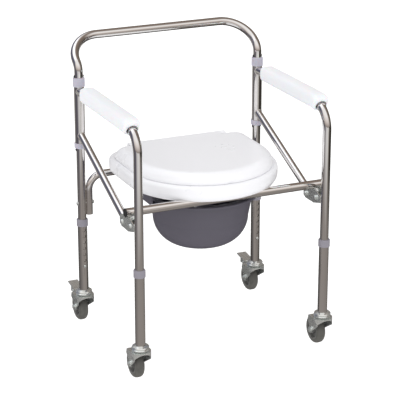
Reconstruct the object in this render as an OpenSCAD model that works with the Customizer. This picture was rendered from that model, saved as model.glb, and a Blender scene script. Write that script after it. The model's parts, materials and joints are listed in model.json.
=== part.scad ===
// Commode chair on castors: chromed tube frame, moulded seat with a hinged lid, sliding pail.
// Millimetres. X to the chair's left-right, Y to its rear, Z up, origin on the floor under its middle.

/* [Frame] */
// Distance between the left and right leg axes
leg_span = 514; // [490:1:560]
// Distance from the front leg axes to the rear post axes
leg_depth = 400; // [385:1:440]
// Height of the back bar's axis
back_height = 779; // [750:1:840]
// Bend radius where the top of the rear hoop leans back
lean_bend = 30; // [25:1:35]
// Length of the straight run above that bend
lean_run = 5; // [2:1:10]
// Corner radius of the rear hoop
back_bend = 80; // [70:1:85]
// Drop from the back bar's axis to the arm tubes' axis
arm_drop = 125; // [122:1:150]
// Bend radius from the arm to the front leg
arm_bend = 60; // [48:1:72]
// Outer diameter of the hoop, arm and front leg tubes
upper_tube_d = 22.2; // [20:0.1:24]
// Outer diameter of the hinge tubes round the rear posts
hinge_tube_d = 27; // [26.5:0.1:29]
// Outer diameter of the side braces
brace_d = 19; // [16:0.5:22]
// Outer diameter of the rear bow under the seat
bow_d = 19; // [16:0.5:21]
// Outer diameter of the front bar under the seat
front_bar_d = 22; // [19:0.5:24]
// Wall of every frame tube
tube_wall = 1.3; // [1:0.1:1.8]
// Height of the hinge tubes' lower end
hinge_bottom = 514; // [500:1:530]
// Height of the upper end of the hinge tubes above the arm axis
hinge_rise = 13; // [12:0.5:18]
// Height where the brace meets the hinge tube
brace_top = 540; // [534:1:560]
// Distance of the front bar behind the front leg axes
front_bar_back = 50; // [46:1:56]
// Height of the front bar's axis
front_bar_height = 436; // [430:1:440]
// How far the front bar runs past the leg axes
front_bar_over = 14; // [8:1:20]
// Height of the rear bow's top bar
bow_height = 421; // [416:1:424]
// Bend radius of the rear bow
bow_bend = 40; // [30:1:50]
// Height of the rear bow's feet
bow_foot = 313; // [308:1:325]
// Height of the bolts that hold the rear bow
bow_bolt_height = 346; // [335:1:360]

/* [Brackets] */
// Thickness of the folded brackets
bracket_t = 2.5; // [2:0.25:3.5]
// Height of the brackets
bracket_h = 37; // [34:1:42]
// Length of the brackets behind the front bar
bracket_tail = 46; // [42:1:54]
// Depth of the notch that the front bar lies in
bar_notch = 2; // [1:0.5:4]
// Size of the brackets' cut corners
bracket_corner = 10; // [6:1:12]
// Half length of the level edge under the front bar
bracket_land = 20; // [16:1:24]
// Diameter of the bracket bolts
bracket_bolt_d = 8; // [6:0.5:9]
// Distance of the front bolts ahead of the front bar
leg_bolt_ahead = 22; // [20:1:24]
// Height of the front bolts above the bracket's foot
leg_bolt_up = 18; // [14:1:20]
// Distance of the rear bolts behind the front bar
brace_bolt_back = 32; // [28:1:34]
// Height of the rear bolts above the bracket's foot
brace_bolt_up = 12; // [11:1:14]
// How far the end of a brace runs past its bolt
brace_run_on = 8; // [6:1:10]
// Depth of the caps inside the front bar
cap_in = 12; // [6:1:20]
// Thickness of the caps outside the front bar
cap_out = 2.5; // [1.5:0.5:4]

/* [Hinge bushes] */
// Outer diameter of the bush flanges
bush_d = 31; // [30:0.5:34]
// Height of the upper bush's flange
upper_bush_h = 23; // [16:1:26]
// Height of the lower bush's flange
lower_bush_h = 14; // [10:1:18]
// Length of the bush sleeve inside the hinge tube
bush_sleeve = 20; // [12:1:30]
// Chamfer at the outer edges of the bushes and the leg collars
bush_chamfer = 1.5; // [0.5:0.25:2]
// Diameter of the retaining pins
hinge_pin_d = 4; // [3:0.5:5]
// Height of the pins' domed heads
hinge_pin_head = 4; // [3:0.5:5]

/* [Arm pads] */
// Width of the moulded pads
pad_w = 44; // [38:1:50]
// Height of the moulded pads
pad_h = 40; // [36:1:44]
// Corner radius of the pads
pad_round = 15; // [8:1:17]
// Height of the pad's middle above the tube axis
pad_lift = 5; // [2:0.5:7]
// Gap between the pad's rear end and the hinge bushes
pad_gap = 42; // [30:1:60]
// Angle through which the pad follows the front bend
pad_angle = 40; // [20:1:55]
// Diameter of the open end round the tube
pad_mouth_d = 30; // [26:0.5:32]
// Depth of that open end, as an angle of the bend
pad_mouth_angle = 12; // [6:1:16]

/* [Legs] */
// Outer diameter of the lower leg tubes
lower_tube_d = 25.4; // [25.2:0.1:27]
// Height of the lower tubes' bottom ends
leg_bottom = 100; // [98:1:110]
// Height of the lower tubes' top ends
leg_top = 291; // [285:1:300]
// Height of the plastic collars above the tube ends
collar_rise = 11; // [6:1:13]
// How far the collars reach down over the tubes
collar_drop = 8; // [5:1:11]
// Outer diameter of the collars
collar_d = 30; // [29.5:0.5:34]
// Height of the locking buttons
button_height = 170; // [166:1:174]
// Spacing of the height holes
hole_pitch = 17; // [15:0.5:17]
// Number of height holes in each leg
hole_count = 7; // [5:1:7]
// Diameter of the height holes
hole_d = 9; // [8:0.5:10]
// Distance from the button down to the inner tube's end
tube_below_button = 20; // [14:1:24]
// How far a button stands out of the inner tube
button_out = 5; // [4:0.5:6]
// Distance of a button's inner end from the leg axis
button_root = 4; // [3:0.5:5]
// Height of a button's domed end
button_dome = 2; // [1:0.5:3]
// Width of a button's leaf spring
leaf_w = 7; // [5:0.5:8]
// Length of a button's leaf spring
leaf_len = 34; // [26:1:40]
// Thickness of a button's leaf spring
leaf_t = 1; // [0.6:0.1:1.4]
// Diameter of the bolts that hold the rear bow
bow_bolt_d = 6; // [5:0.5:8]

/* [Seat] */
// Radius of the seat's round front, half of its width
seat_r = 202; // [190:1:215]
// Distance of the seat's front edge ahead of the front bar's axis
seat_lead = 42; // [38:1:46]
// How far the seat's rear edge reaches behind the rear posts' axes
seat_over = 0; // [-5:1:6]
// Corner radius at the seat's rear
seat_corner = 78; // [60:1:88]
// Height of the seat's top face
seat_top = 482; // [478:1:488]
// Height of the skirt's lower edge
seat_skirt = 438; // [436:1:444]
// Rounding from the skirt to the top face
seat_step = 9; // [6:0.5:14]
// Radius through which the skirt curls in at its lower edge
seat_curl = 20; // [12:1:24]
// Wall of the moulded seat
seat_wall = 3.5; // [2.5:0.25:4.5]
// Half width of the opening in the seat
opening_r = 105; // [95:1:115]
// Distance between the centres of the opening's two round ends
opening_len = 80; // [60:1:90]
// Depth of the lip round the opening
lip_depth = 20; // [12:1:26]
// Distance of the seat screws from the chair's middle
screw_x = 85; // [70:1:95]
// Diameter of the seat screws
screw_d = 5; // [4:0.5:6]
// Height of the seat screws' heads
screw_head_h = 3; // [2:0.5:4]
// Radius of the bosses that the seat screws turn into
boss_r = 8; // [6:0.5:10]
// Plastic left above a seat screw's end
screw_cover = 6; // [4:0.5:10]
// Width of the saddles on the rear bow
clip_w = 26; // [20:1:32]
// Thickness of the saddles' upright lugs
clip_lug = 12; // [8:1:14]
// How far the saddles reach behind the rear bow
clip_tail = 3; // [2:0.5:5]

/* [Lid] */
// Radius of the lid's round front
lid_r = 190; // [180:1:192]
// Height of the lid's straight edge
lid_edge = 6; // [4:0.5:9]
// Height of the lid above the seat
lid_h = 28; // [24:1:32]
// Width of the lid's rounded shoulder
lid_shoulder = 28; // [20:1:36]
// Corner radius at the lid's rear
lid_corner = 40; // [37:1:46]
// Wall of the moulded lid
lid_wall = 3; // [2:0.25:4]
// Distance of the lid's hinge axis ahead of the seat's rear edge
lid_hinge_in = 45; // [42:1:50]
// Radius of the lid's rolled rear edge
lid_roll_r = 13; // [11:0.5:13]
// Half length of the rolled edge between the hinge ears
lid_roll_half = 118; // [100:1:124]
// Width of a hinge ear
ear_w = 20; // [14:1:26]
// Diameter of the lid's hinge pins
lid_pin_d = 6; // [4:0.5:8]
// Length of a hinge pin inside the lid
lid_pin_in = 18; // [12:1:24]
// Radius of the thumb notch in the lid's front edge
notch_r = 9; // [6:0.5:12]
// Depth of that notch
notch_depth = 2; // [1:0.25:2.5]
// Room in the lid round a hinge ear
ear_gap = 4; // [2:0.5:6]

/* [Pail] */
// Radius of the pail's rim
rim_r = 155; // [150:0.5:156.5]
// Height of the pail's rim above the floor
rim_height = 406; // [398:1:408]
// Thickness of the rim's turned edge
rim_t = 6; // [4:0.5:8]
// Chamfer at the rim's upper edge
rim_chamfer = 1.5; // [0.5:0.25:3]
// Room between the rim and the rails
rim_room = 2.5; // [1.5:0.25:3]
// Distance of the pail's middle behind the middle of the legs
pail_y = 5; // [0:1:10]
// Radius of the pail under its rim
pail_top_r = 137; // [133:0.5:147]
// Radius of the pail where its side turns into the bottom
pail_low_r = 125; // [118:1:130]
// Height of that turn above the pail's bottom
pail_turn = 76; // [50:1:84]
// Height of the pail's bottom above the floor
pail_bottom = 268; // [250:1:276]
// Wall of the pail
pail_wall = 2.5; // [2:0.25:3.5]
// Length of the rails that the pail hangs in
rail_len = 110; // [90:1:130]
// Thickness of the rails
rail_t = 2.5; // [2:0.25:3]
// Width of the ledge that carries the rim
ledge_w = 11.5; // [10.5:0.25:12]

/* [Castors] */
// Diameter of the wheels
wheel_d = 75; // [72:1:78]
// Width of the tyres
wheel_w = 24; // [20:1:25]
// Outer diameter of the wheel core under the tyre
core_d = 54; // [46:1:58]
// Distance of the axle behind the swivel axis
trail = 33; // [29:1:36]
// Free width on each side of a tyre inside its fork
fork_room = 2.25; // [2:0.25:3.5]
// Thickness of the fork plates
fork_t = 2.5; // [2:0.25:3]
// Height of the fork's crown
crown_height = 85; // [84:0.5:87]
// Radius of the ball race
race_r = 22; // [18:0.5:24]
// Radius of the fork's round hood
hood_r = 26.5; // [25:0.5:28]
// Depth of the hood's rim below the crown
hood_rim = 12; // [8:1:16]
// Diameter of the axle bolts
axle_d = 8; // [6:0.5:10]
// Diameter of the king pin
king_pin_d = 10; // [8:0.5:12]
// Length of the stem plug inside the leg
plug_len = 38; // [28:1:44]
// Chamfer at the stem plug's upper end
plug_chamfer = 3; // [1:0.5:5]
// Thickness of the cap over the ball race
race_cap = 7; // [6:0.5:8]
// How far the king pin's head stands out round the pin
pin_head = 2.5; // [2:0.25:3.5]
// Height of the king pin's head below the crown
pin_head_h = 3; // [2:0.5:4]
// Thickness of the fork's crown plate
crown_t = 3; // [2.5:0.25:4]
// Radius of the fork's ends round the axle
fork_end_r = 10; // [9:0.5:12]
// Diameter of the brake pedals' pins
pedal_pin_d = 5; // [4:0.5:6]
// Distance of the pedal pins behind the axle
pedal_pin_back = 10; // [9:0.5:12]
// Distance of the pedal pins below the crown
pedal_pin_drop = 3; // [2:0.5:3.5]
// Radius of the fork's lugs round the pedal pins
lug_r = 6; // [5:0.5:7]
// Thickness of the brake pedals
pedal_t = 3.5; // [3:0.25:4.5]
// Wall of the brake pedals' hubs round their pins
pedal_hub = 2; // [1.5:0.25:2.5]
// Distance of a brake shoe behind the pedal's pin
shoe_back = 19; // [18:0.5:21]
// Drop of a brake shoe below the pedal's pin
shoe_drop = 10; // [8:0.5:10.5]
// Rounding of the tyres' edges
tyre_round = 9; // [4:0.5:10]
// Wall of the wheel core's hub round the axle
core_hub = 6; // [4:0.5:8]
// Thickness of the wheel core's web
core_web = 8; // [5:0.5:12]
// Depth of the wheel core's rim under the tyre
core_rim = 4; // [3:0.5:6]
// Length of the brake pedals behind their pin
pedal_len = 46; // [42:1:54]
// Rise of the brake pedals over that length
pedal_rise = 6; // [4:1:10]

/* [Fits] */
// Radial clearance of pins and shafts that turn
run_fit = 0.05; // [0.02:0.01:0.1]
// Gap between pieces that slide or rest on one another
slide_gap = 0.3; // [0.2:0.05:0.5]

/* [Hidden] */
$fn = 64;

chrome = "#b8b4ae";
zinc = "#9aa3a0";
white = "#f3f4f6";
bush_grey = "#b9b6c4";
collar_grey = "#9a96a0";
pail_grey = "#5d5a64";
black = "#2b2b2d";
tyre_grey = "#565650";
core_grey = "#85898c";

half_span = leg_span / 2;
half_depth = leg_depth / 2;
arm_height = back_height - arm_drop;

// The hoop's top leans back 4 for every 3 that it rises
back_lean = atan2(4, 3);
lean_start = back_height - (lean_run + back_bend) * cos(back_lean) - lean_bend * sin(back_lean);
upper_r = upper_tube_d / 2;
lower_r = lower_tube_d / 2;
lower_bore_r = upper_r + slide_gap;
hinge_r = hinge_tube_d / 2;
hinge_bore_r = hinge_r - tube_wall;
hinge_top = arm_height + hinge_rise;
brace_r = brace_d / 2;
bow_r = bow_d / 2;
bar_r = front_bar_d / 2;
bar_y = front_bar_back - half_depth;
bow_x = half_span - upper_r - bow_r;
tube_end = button_height - tube_below_button;
eps = 0.5;

// Folded channel between the front leg and the brace, with the front bar lying on it
bracket_top = front_bar_height - bar_r + bar_notch;
bracket_foot = bracket_top - bracket_h;
bracket_rear = bar_y + bracket_tail;
bracket_front = bracket_corner / 2 - half_depth;
leg_bolt = [bar_y - leg_bolt_ahead, bracket_foot + leg_bolt_up];
brace_end = [bar_y + brace_bolt_back, bracket_foot + brace_bolt_up];
brace_hinge = [half_depth, brace_top];

// Seat, lid and pail levels
seat_centre = bar_y - seat_lead + seat_r;
seat_rear = half_depth + seat_over;
deck_under = seat_top - seat_wall;
screw_grip = deck_under - front_bar_height - bar_r - screw_cover;
ledge_top = rim_height - slide_gap;
rail_out = rim_r + rim_room + rail_t;
lid_bottom = seat_top + slide_gap;
lid_top = lid_bottom + lid_h;
lid_axis_z = lid_top - lid_roll_r;
lid_hinge_y = seat_rear - lid_hinge_in;
hinge_pin_heights = [hinge_top + upper_bush_h + hinge_pin_d, hinge_bottom - lower_bush_h - hinge_pin_d];

// Castor levels
wheel_r = wheel_d / 2;
axle_r = axle_d / 2;
fork_half = wheel_w / 2 + fork_room;
crown_foot = crown_height - crown_t;
race_top = leg_bottom - race_cap - slide_gap;
race_in = race_r * 0.8;
pedal_pin = [trail + pedal_pin_back, crown_height - pedal_pin_drop];

// Share of a bolt's diameter that its nut and its head are high
bolt_end = 0.6;

// Places the children on one leg's axis: sx is -1 left or 1 right, sy is -1 front or 1 rear
module at_leg(sx, sy) {
    translate([sx * half_span, sy * half_depth, 0]) children();
}

// The right-hand piece as drawn, or its mirror image on the left
module on_side(sx) {
    if (sx > 0) children();
    else mirror([1, 0, 0]) children();
}

// A round bar along X, centred at y, z
module cross_bar(r, x0, x1, y, z) {
    translate([x0, y, z]) rotate([0, 90, 0]) cylinder(r = r, h = x1 - x0);
}

// A round bar in the side plane x, between two [y, z] points, with its ends run on by extra
module side_rod(r, x, from, to, extra = 0) {
    run = to - from;
    translate([x, from[0], from[1]])
        rotate([atan2(-run[0], run[1]), 0, 0])
            translate([0, 0, -extra]) cylinder(r = r, h = norm(run) + 2 * extra);
}

// An inverted U across the chair at depth y: feet at x = -half and half, top bar at height top
module arch(r, half, y, foot, top, bend) {
    for (s = [-1, 1]) {
        translate([s * half, y, foot]) cylinder(r = r, h = top - bend - foot);
        on_side(s)
            translate([half - bend, y, top - bend])
                rotate([90, 0, 0]) rotate_extrude(angle = 90) translate([bend, 0]) circle(r = r);
    }
    cross_bar(r, bend - half, half - bend, y, top);
}

// Quarter bend, cut off square where the leaning run starts
module lean_arc(r) {
    reach = lean_bend + 2 * r;
    intersection() {
        rotate([90, 0, -90]) rotate_extrude(angle = 90) translate([lean_bend, 0]) circle(r = r);
        rotate([-back_lean, 0, 0]) translate([-reach, -reach, -reach]) cube([2 * reach, 2 * reach, reach]);
    }
}

// Both rear posts and the back bar in one bent run, drawn from the middle of the bend that leans it back
module hoop_run(r, foot) {
    for (s = [-1, 1]) on_side(s) translate([half_span, half_depth + lean_bend, lean_start]) {
        translate([0, -lean_bend, foot - lean_start]) cylinder(r = r, h = lean_start - foot);
        lean_arc(r);
        rotate([-back_lean, 0, 0]) translate([0, -lean_bend, 0]) {
            cylinder(r = r, h = lean_run);
            translate([-back_bend, 0, lean_run]) rotate([90, 0, 0])
                rotate_extrude(angle = 90) translate([back_bend, 0]) circle(r = r);
            cross_bar(r, -half_span, -back_bend, 0, lean_run + back_bend);
        }
    }
}

module rear_hoop() {
    color(chrome) difference() {
        hoop_run(upper_r, tube_end);
        hoop_run(upper_r - tube_wall, tube_end - eps);
        for (s = [-1, 1]) at_leg(s, 1) {
            translate([0, 0, button_height]) rotate([90, 0, 0]) cylinder(d = hole_d, h = upper_tube_d);
            for (z = hinge_pin_heights) cross_bar(hinge_pin_d / 2, -hinge_r, hinge_r, 0, z);
            cross_bar(bow_bolt_d / 2, -hinge_r, hinge_r, 0, bow_bolt_height);
        }
    }
}

module seat_bow() {
    color(chrome) difference() {
        arch(bow_r, bow_x, half_depth, bow_foot, bow_height, bow_bend);
        translate([0, 0, -eps])
            arch(bow_r - tube_wall, bow_x, half_depth, bow_foot, bow_height + eps, bow_bend);
        for (s = [-1, 1]) translate([s * bow_x, half_depth, 0])
            cross_bar(bow_bolt_d / 2, -bow_d, bow_d, 0, bow_bolt_height);
    }
}

// Low dome of radius r and height h, as on a pan head
module dome(r, h) {
    rotate_extrude() polygon(concat([[0, 0]], [for (a = [0 : 15 : 90]) [r * cos(a), h * sin(a)]]));
}

// Bolt along X from x0 to x1 with a domed head outside x1 and a hexagon nut outside x0
module bolt(d, x0, x1, y, z, head_r) {
    end_h = d * bolt_end;
    cross_bar(d / 2, x0 - end_h - eps, x1, y, z);
    translate([x1, y, z]) rotate([0, 90, 0]) dome(head_r, end_h);
    translate([x0 - end_h, y, z]) rotate([0, 90, 0]) cylinder(r = head_r, h = end_h, $fn = 6);
}

module bow_bolts() {
    color(zinc) for (s = [-1, 1]) on_side(s)
        bolt(bow_bolt_d, bow_x - bow_r, half_span + upper_r, half_depth, bow_bolt_height, bow_bolt_d * 0.85);
}

// Tube that turns on the rear post, with the arm and the brace welded to it
module hinge_tube(sx) {
    color(chrome) at_leg(sx, 1) difference() {
        translate([0, 0, hinge_bottom]) cylinder(r = hinge_r, h = hinge_top - hinge_bottom);
        translate([0, 0, hinge_bottom - eps])
            cylinder(r = hinge_bore_r, h = hinge_top - hinge_bottom + 2 * eps);
    }
}

// Flanged bush: a flange of height h standing on z = 0 and a sleeve below it
module bush(h) {
    rotate_extrude() polygon([
        [upper_r, -bush_sleeve], [hinge_bore_r, -bush_sleeve], [hinge_bore_r, 0], [bush_d / 2, 0],
        [bush_d / 2, h - bush_chamfer], [bush_d / 2 - bush_chamfer, h], [upper_r, h]]);
}

module upper_bushes() {
    color(bush_grey) for (s = [-1, 1]) at_leg(s, 1) translate([0, 0, hinge_top]) bush(upper_bush_h);
}

module lower_bushes() {
    color(bush_grey) for (s = [-1, 1]) at_leg(s, 1)
        translate([0, 0, hinge_bottom]) mirror([0, 0, 1]) bush(lower_bush_h);
}

// Pin through the rear post that keeps a bush in place, with a domed head on both sides
module hinge_pins() {
    head_r = hinge_pin_d * 0.95;
    color(black) for (s = [-1, 1], z = hinge_pin_heights) at_leg(s, 1) translate([0, 0, z]) {
        cross_bar(hinge_pin_d / 2, -upper_r, upper_r, 0, 0);
        difference() {
            for (t = [-1, 1]) on_side(t)
                translate([upper_r - 2 * eps, 0, 0]) rotate([0, 90, 0]) dome(head_r, hinge_pin_head);
            translate([0, 0, -2 * head_r]) cylinder(r = upper_r, h = 4 * head_r);
        }
    }
}

// Arm and front leg in one bent run, from the hinge tube down to the lock button
module arm_run(r, x, foot, rear) {
    translate([x, arm_bend - half_depth, arm_height]) rotate([-90, 0, 0])
        cylinder(r = r, h = rear - arm_bend + half_depth);
    translate([x, arm_bend - half_depth, arm_height - arm_bend]) rotate([90, 0, -90])
        rotate_extrude(angle = 90) translate([arm_bend, 0]) circle(r = r);
    translate([x, -half_depth, foot]) cylinder(r = r, h = arm_height - arm_bend - foot);
}

module arm_tube(sx) {
    color(chrome) on_side(sx) difference() {
        arm_run(upper_r, half_span, tube_end, half_depth);
        arm_run(upper_r - tube_wall, half_span, tube_end - eps, half_depth);
        at_leg(1, 1) translate([0, 0, hinge_bottom]) cylinder(r = hinge_r, h = hinge_top - hinge_bottom);
        at_leg(1, -1) translate([0, 0, button_height])
            rotate([-90, 0, 0]) cylinder(d = hole_d, h = upper_tube_d);
    }
}

module brace(sx) {
    color(chrome) on_side(sx) difference() {
        side_rod(brace_r, half_span, brace_end, brace_hinge, brace_run_on);
        side_rod(brace_r - tube_wall, half_span, brace_end, brace_hinge, brace_run_on + eps);
        at_leg(1, 1) translate([0, 0, hinge_bottom - brace_d]) {
            cylinder(r = hinge_r, h = hinge_top - hinge_bottom);
            translate([-brace_d, 0, 0]) cube([2 * brace_d, hinge_tube_d, hinge_top - hinge_bottom]);
        }
        cross_bar(bracket_bolt_d / 2, half_span - brace_d, half_span + brace_d, brace_end[0], brace_end[1]);
    }
}

// Folded bracket seen from the side, with the notch that the front bar lies in
module bracket_outline() {
    difference() {
        polygon([
            [bracket_front, bracket_foot + bracket_corner], [bracket_front, bracket_top - bracket_corner],
            [bar_y - bracket_land, bracket_top], [bar_y + bracket_land, bracket_top],
            [bracket_rear, bracket_top - bracket_corner], [bracket_rear, bracket_foot + bracket_corner],
            [bracket_rear - bracket_corner, bracket_foot], [bar_y - bracket_corner, bracket_foot]]);
        translate([bar_y, front_bar_height]) circle(r = bar_r);
    }
}

module bracket(sx) {
    color(zinc) on_side(sx) difference() {
        union() {
            for (x = [half_span - brace_r - bracket_t, half_span + brace_r])
                translate([x, 0, 0]) rotate([90, 0, 90]) linear_extrude(bracket_t) bracket_outline();
            translate([half_span - brace_r - bracket_t, bar_y - bracket_corner, bracket_foot])
                cube([brace_d + 2 * bracket_t, bracket_rear - bar_y, bracket_t]);
        }
        at_leg(1, -1) translate([0, 0, bracket_foot - eps]) cylinder(r = upper_r, h = bracket_h + 2 * eps);
        side_rod(brace_r, half_span, brace_end, brace_hinge, brace_run_on);
        for (p = [leg_bolt, brace_end])
            cross_bar(bracket_bolt_d / 2, half_span - brace_d, half_span + brace_d, p[0], p[1]);
    }
}

module bracket_bolts() {
    grip = brace_r + bracket_t;
    color(zinc) for (s = [-1, 1], p = [leg_bolt, brace_end]) on_side(s)
        bolt(bracket_bolt_d, half_span - grip, half_span + grip, p[0], p[1], bracket_bolt_d * 0.82);
}

// Outline of a pad with its centre lifted above the tube axis, rounded at its corners
module pad_outline() {
    flat_w = pad_w - 2 * pad_round;
    flat_h = pad_h - 2 * pad_round;
    translate([0, pad_lift]) {
        square([pad_w, flat_h], center = true);
        square([flat_w, pad_h], center = true);
        for (x = [-1, 1], y = [-1, 1]) translate([x * flat_w / 2, y * flat_h / 2]) circle(r = pad_round);
    }
}

// The front bend of an arm turned through a given angle, with children as its section
module arm_turn(turn) {
    translate([half_span, arm_bend - half_depth, arm_height - arm_bend])
        rotate([0, 0, -90]) rotate([90, 0, 0]) rotate([0, 0, 90])
            rotate_extrude(angle = -turn) translate([arm_bend, 0]) rotate(-90) children();
}

module arm_pad(sx) {
    pad_front = arm_bend - half_depth;
    pad_rear = half_depth - bush_d / 2 - pad_gap;
    color(white) on_side(sx) difference() {
        union() {
            translate([half_span, pad_rear, arm_height]) rotate([90, 0, 0])
                linear_extrude(pad_rear - pad_front) pad_outline();
            arm_turn(pad_angle) pad_outline();
        }
        arm_run(upper_r, half_span, tube_end, half_depth);
        difference() {
            arm_turn(pad_angle + pad_mouth_angle) circle(d = pad_mouth_d);
            arm_turn(pad_angle - pad_mouth_angle) square(2 * pad_w, center = true);
        }
    }
}

module front_bar() {
    reach = half_span + front_bar_over;
    color(chrome) difference() {
        cross_bar(bar_r, -reach, reach, bar_y, front_bar_height);
        cross_bar(bar_r - tube_wall, -reach - eps, reach + eps, bar_y, front_bar_height);
        for (s = [-1, 1]) translate([s * screw_x, bar_y, front_bar_height - front_bar_d])
            cylinder(d = screw_d, h = 2 * front_bar_d);
    }
}

module bar_caps() {
    reach = half_span + front_bar_over;
    color(black) for (s = [-1, 1]) on_side(s) {
        cross_bar(bar_r - tube_wall, reach - cap_in, reach, bar_y, front_bar_height);
        cross_bar(bar_r, reach, reach + cap_out, bar_y, front_bar_height);
    }
}

// Half disc about the front arc's centre, in front of it
module round_front(r) {
    translate([0, seat_centre]) intersection() {
        circle(r = r);
        translate([-r, -r]) square([2 * r, r]);
    }
}

// Seat outline drawn in by a given inset: a round front, straight sides and round rear corners
module seat_outline(inset) {
    r = seat_r - inset;
    c = seat_corner - inset;
    rear = seat_rear - inset;
    round_front(r);
    translate([-r, seat_centre]) square([2 * r, rear - c - seat_centre]);
    translate([c - r, seat_centre]) square([2 * (r - c), rear - seat_centre]);
    for (s = [-1, 1]) translate([s * (r - c), rear - c]) circle(r = c);
}

// Sweeps a wall section round that outline; the section's x is measured from the outline
module seat_sweep() {
    translate([0, seat_centre, 0]) rotate([0, 0, 180])
        rotate_extrude(angle = 180) translate([seat_r, 0]) children();
    for (s = [-1, 1]) on_side(s) {
        side_end = seat_rear - seat_corner;
        translate([seat_r, side_end, 0]) rotate([90, 0, 0]) linear_extrude(side_end - seat_centre) children();
        translate([seat_r - seat_corner, side_end, 0])
            rotate_extrude(angle = 90) translate([seat_corner, 0]) children();
    }
    translate([seat_corner - seat_r, seat_rear, 0]) rotate([90, 0, 90])
        linear_extrude(2 * (seat_r - seat_corner)) children();
}

// Outline of the skirt's section drawn in by w: rounded into the top face and curled in below
module skirt_outline(w) {
    curl_z = seat_skirt + seat_curl;
    intersection() {
        translate([-seat_curl, seat_skirt]) square([seat_curl, seat_top - seat_skirt]);
        union() {
            translate([-seat_step, seat_top - seat_step]) circle(r = seat_step - w);
            translate([-seat_curl, curl_z]) {
                circle(r = seat_curl - w);
                square([seat_curl - w, seat_top - seat_step - curl_z]);
                square([seat_curl - seat_step, seat_top - w - curl_z]);
            }
        }
    }
}

module skirt_section() {
    difference() {
        skirt_outline(0);
        skirt_outline(seat_wall);
    }
}

module opening_outline(grow) {
    r = opening_r + grow;
    translate([-r, -opening_len / 2]) square([2 * r, opening_len]);
    for (s = [-1, 1]) translate([0, s * opening_len / 2]) circle(r = r);
}

module seat() {
    boss_foot = front_bar_height + bar_r;
    color(white) difference() {
        union() {
            seat_sweep() skirt_section();
            translate([0, 0, deck_under]) linear_extrude(seat_wall) seat_outline(seat_step);
            translate([0, 0, seat_top - lip_depth]) linear_extrude(lip_depth) opening_outline(seat_wall);
            for (s = [-1, 1]) translate([s * screw_x, bar_y, front_bar_height])
                cylinder(r = boss_r, h = deck_under - front_bar_height + eps);
            for (s = [-1, 1]) on_side(s) hinge_ear();
        }
        translate([0, 0, seat_top - lip_depth - eps]) linear_extrude(lip_depth + 2 * eps) opening_outline(0);
        cross_bar(bar_r, -seat_r, seat_r, bar_y, front_bar_height);
        for (s = [-1, 1]) {
            translate([s * screw_x, bar_y, boss_foot - bar_r]) cylinder(d = screw_d, h = bar_r + screw_grip);
            cross_bar(lid_pin_d / 2, s > 0 ? 0 : -seat_r, s > 0 ? seat_r : 0, lid_hinge_y, lid_axis_z);
        }
    }
}

// Ear on the seat that carries one end of the lid's hinge
module hinge_ear() {
    translate([lid_roll_half + 2 * slide_gap, 0, 0]) rotate([90, 0, 90]) linear_extrude(ear_w) {
        translate([lid_hinge_y, lid_axis_z]) circle(r = lid_roll_r);
        translate([lid_hinge_y - lid_roll_r, deck_under]) square([2 * lid_roll_r, lid_axis_z - deck_under]);
    }
}

// Saddles over the rear bow, each with a lug that stands up to the seat's deck inside the skirt
module seat_clips() {
    lug_y = seat_rear - seat_curl - clip_lug - slide_gap;
    clip_rear = half_depth + bow_r + clip_tail;
    color(black) for (s = [-1, 1]) on_side(s) difference() {
        translate([screw_x, lug_y, 0]) {
            translate([0, 0, bow_height]) cube([clip_w, clip_rear - lug_y, seat_skirt - bow_height]);
            translate([0, 0, bow_height]) cube([clip_w, clip_lug, deck_under - bow_height]);
        }
        cross_bar(bow_r, 0, seat_r, half_depth, bow_height);
    }
}

module seat_screws() {
    color(zinc) for (s = [-1, 1]) translate([s * screw_x, bar_y, front_bar_height - bar_r]) {
        cylinder(d = screw_d, h = 2 * bar_r + screw_grip);
        difference() {
            translate([0, 0, 2 * eps]) mirror([0, 0, 1]) dome(screw_d, screw_head_h);
            cross_bar(bar_r, -2 * screw_d, 2 * screw_d, 0, bar_r);
        }
    }
}

// Angle rails hung from the seat, whose ledges carry the pail's rim
module pail_rails() {
    color(pail_grey) for (s = [-1, 1]) on_side(s)
        translate([0, pail_y - rail_len / 2, ledge_top - rail_t]) {
            translate([rail_out - rail_t, 0, 0]) cube([rail_t, rail_len, deck_under - ledge_top + rail_t]);
            translate([rail_out - ledge_w, 0, 0]) cube([ledge_w, rail_len, rail_t]);
        }
}

module lid_hinge_pins() {
    color(zinc) for (s = [-1, 1]) on_side(s)
        cross_bar(lid_pin_d / 2, lid_roll_half - lid_pin_in, lid_roll_half + ear_w, lid_hinge_y, lid_axis_z);
}

// Outline of the lid's edge in section, drawn in by w: an upright edge under a rounded shoulder
module lid_outline(w) {
    rise = lid_h - lid_edge;
    shoulder_r = (lid_shoulder * lid_shoulder + rise * rise) / (2 * rise);
    intersection() {
        translate([-lid_shoulder, lid_bottom - w]) square([lid_shoulder - w, lid_h]);
        translate([-lid_shoulder, lid_top - shoulder_r]) circle(r = shoulder_r - w);
    }
}

module lid_section() {
    difference() {
        lid_outline(0);
        lid_outline(lid_wall);
    }
}

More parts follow.
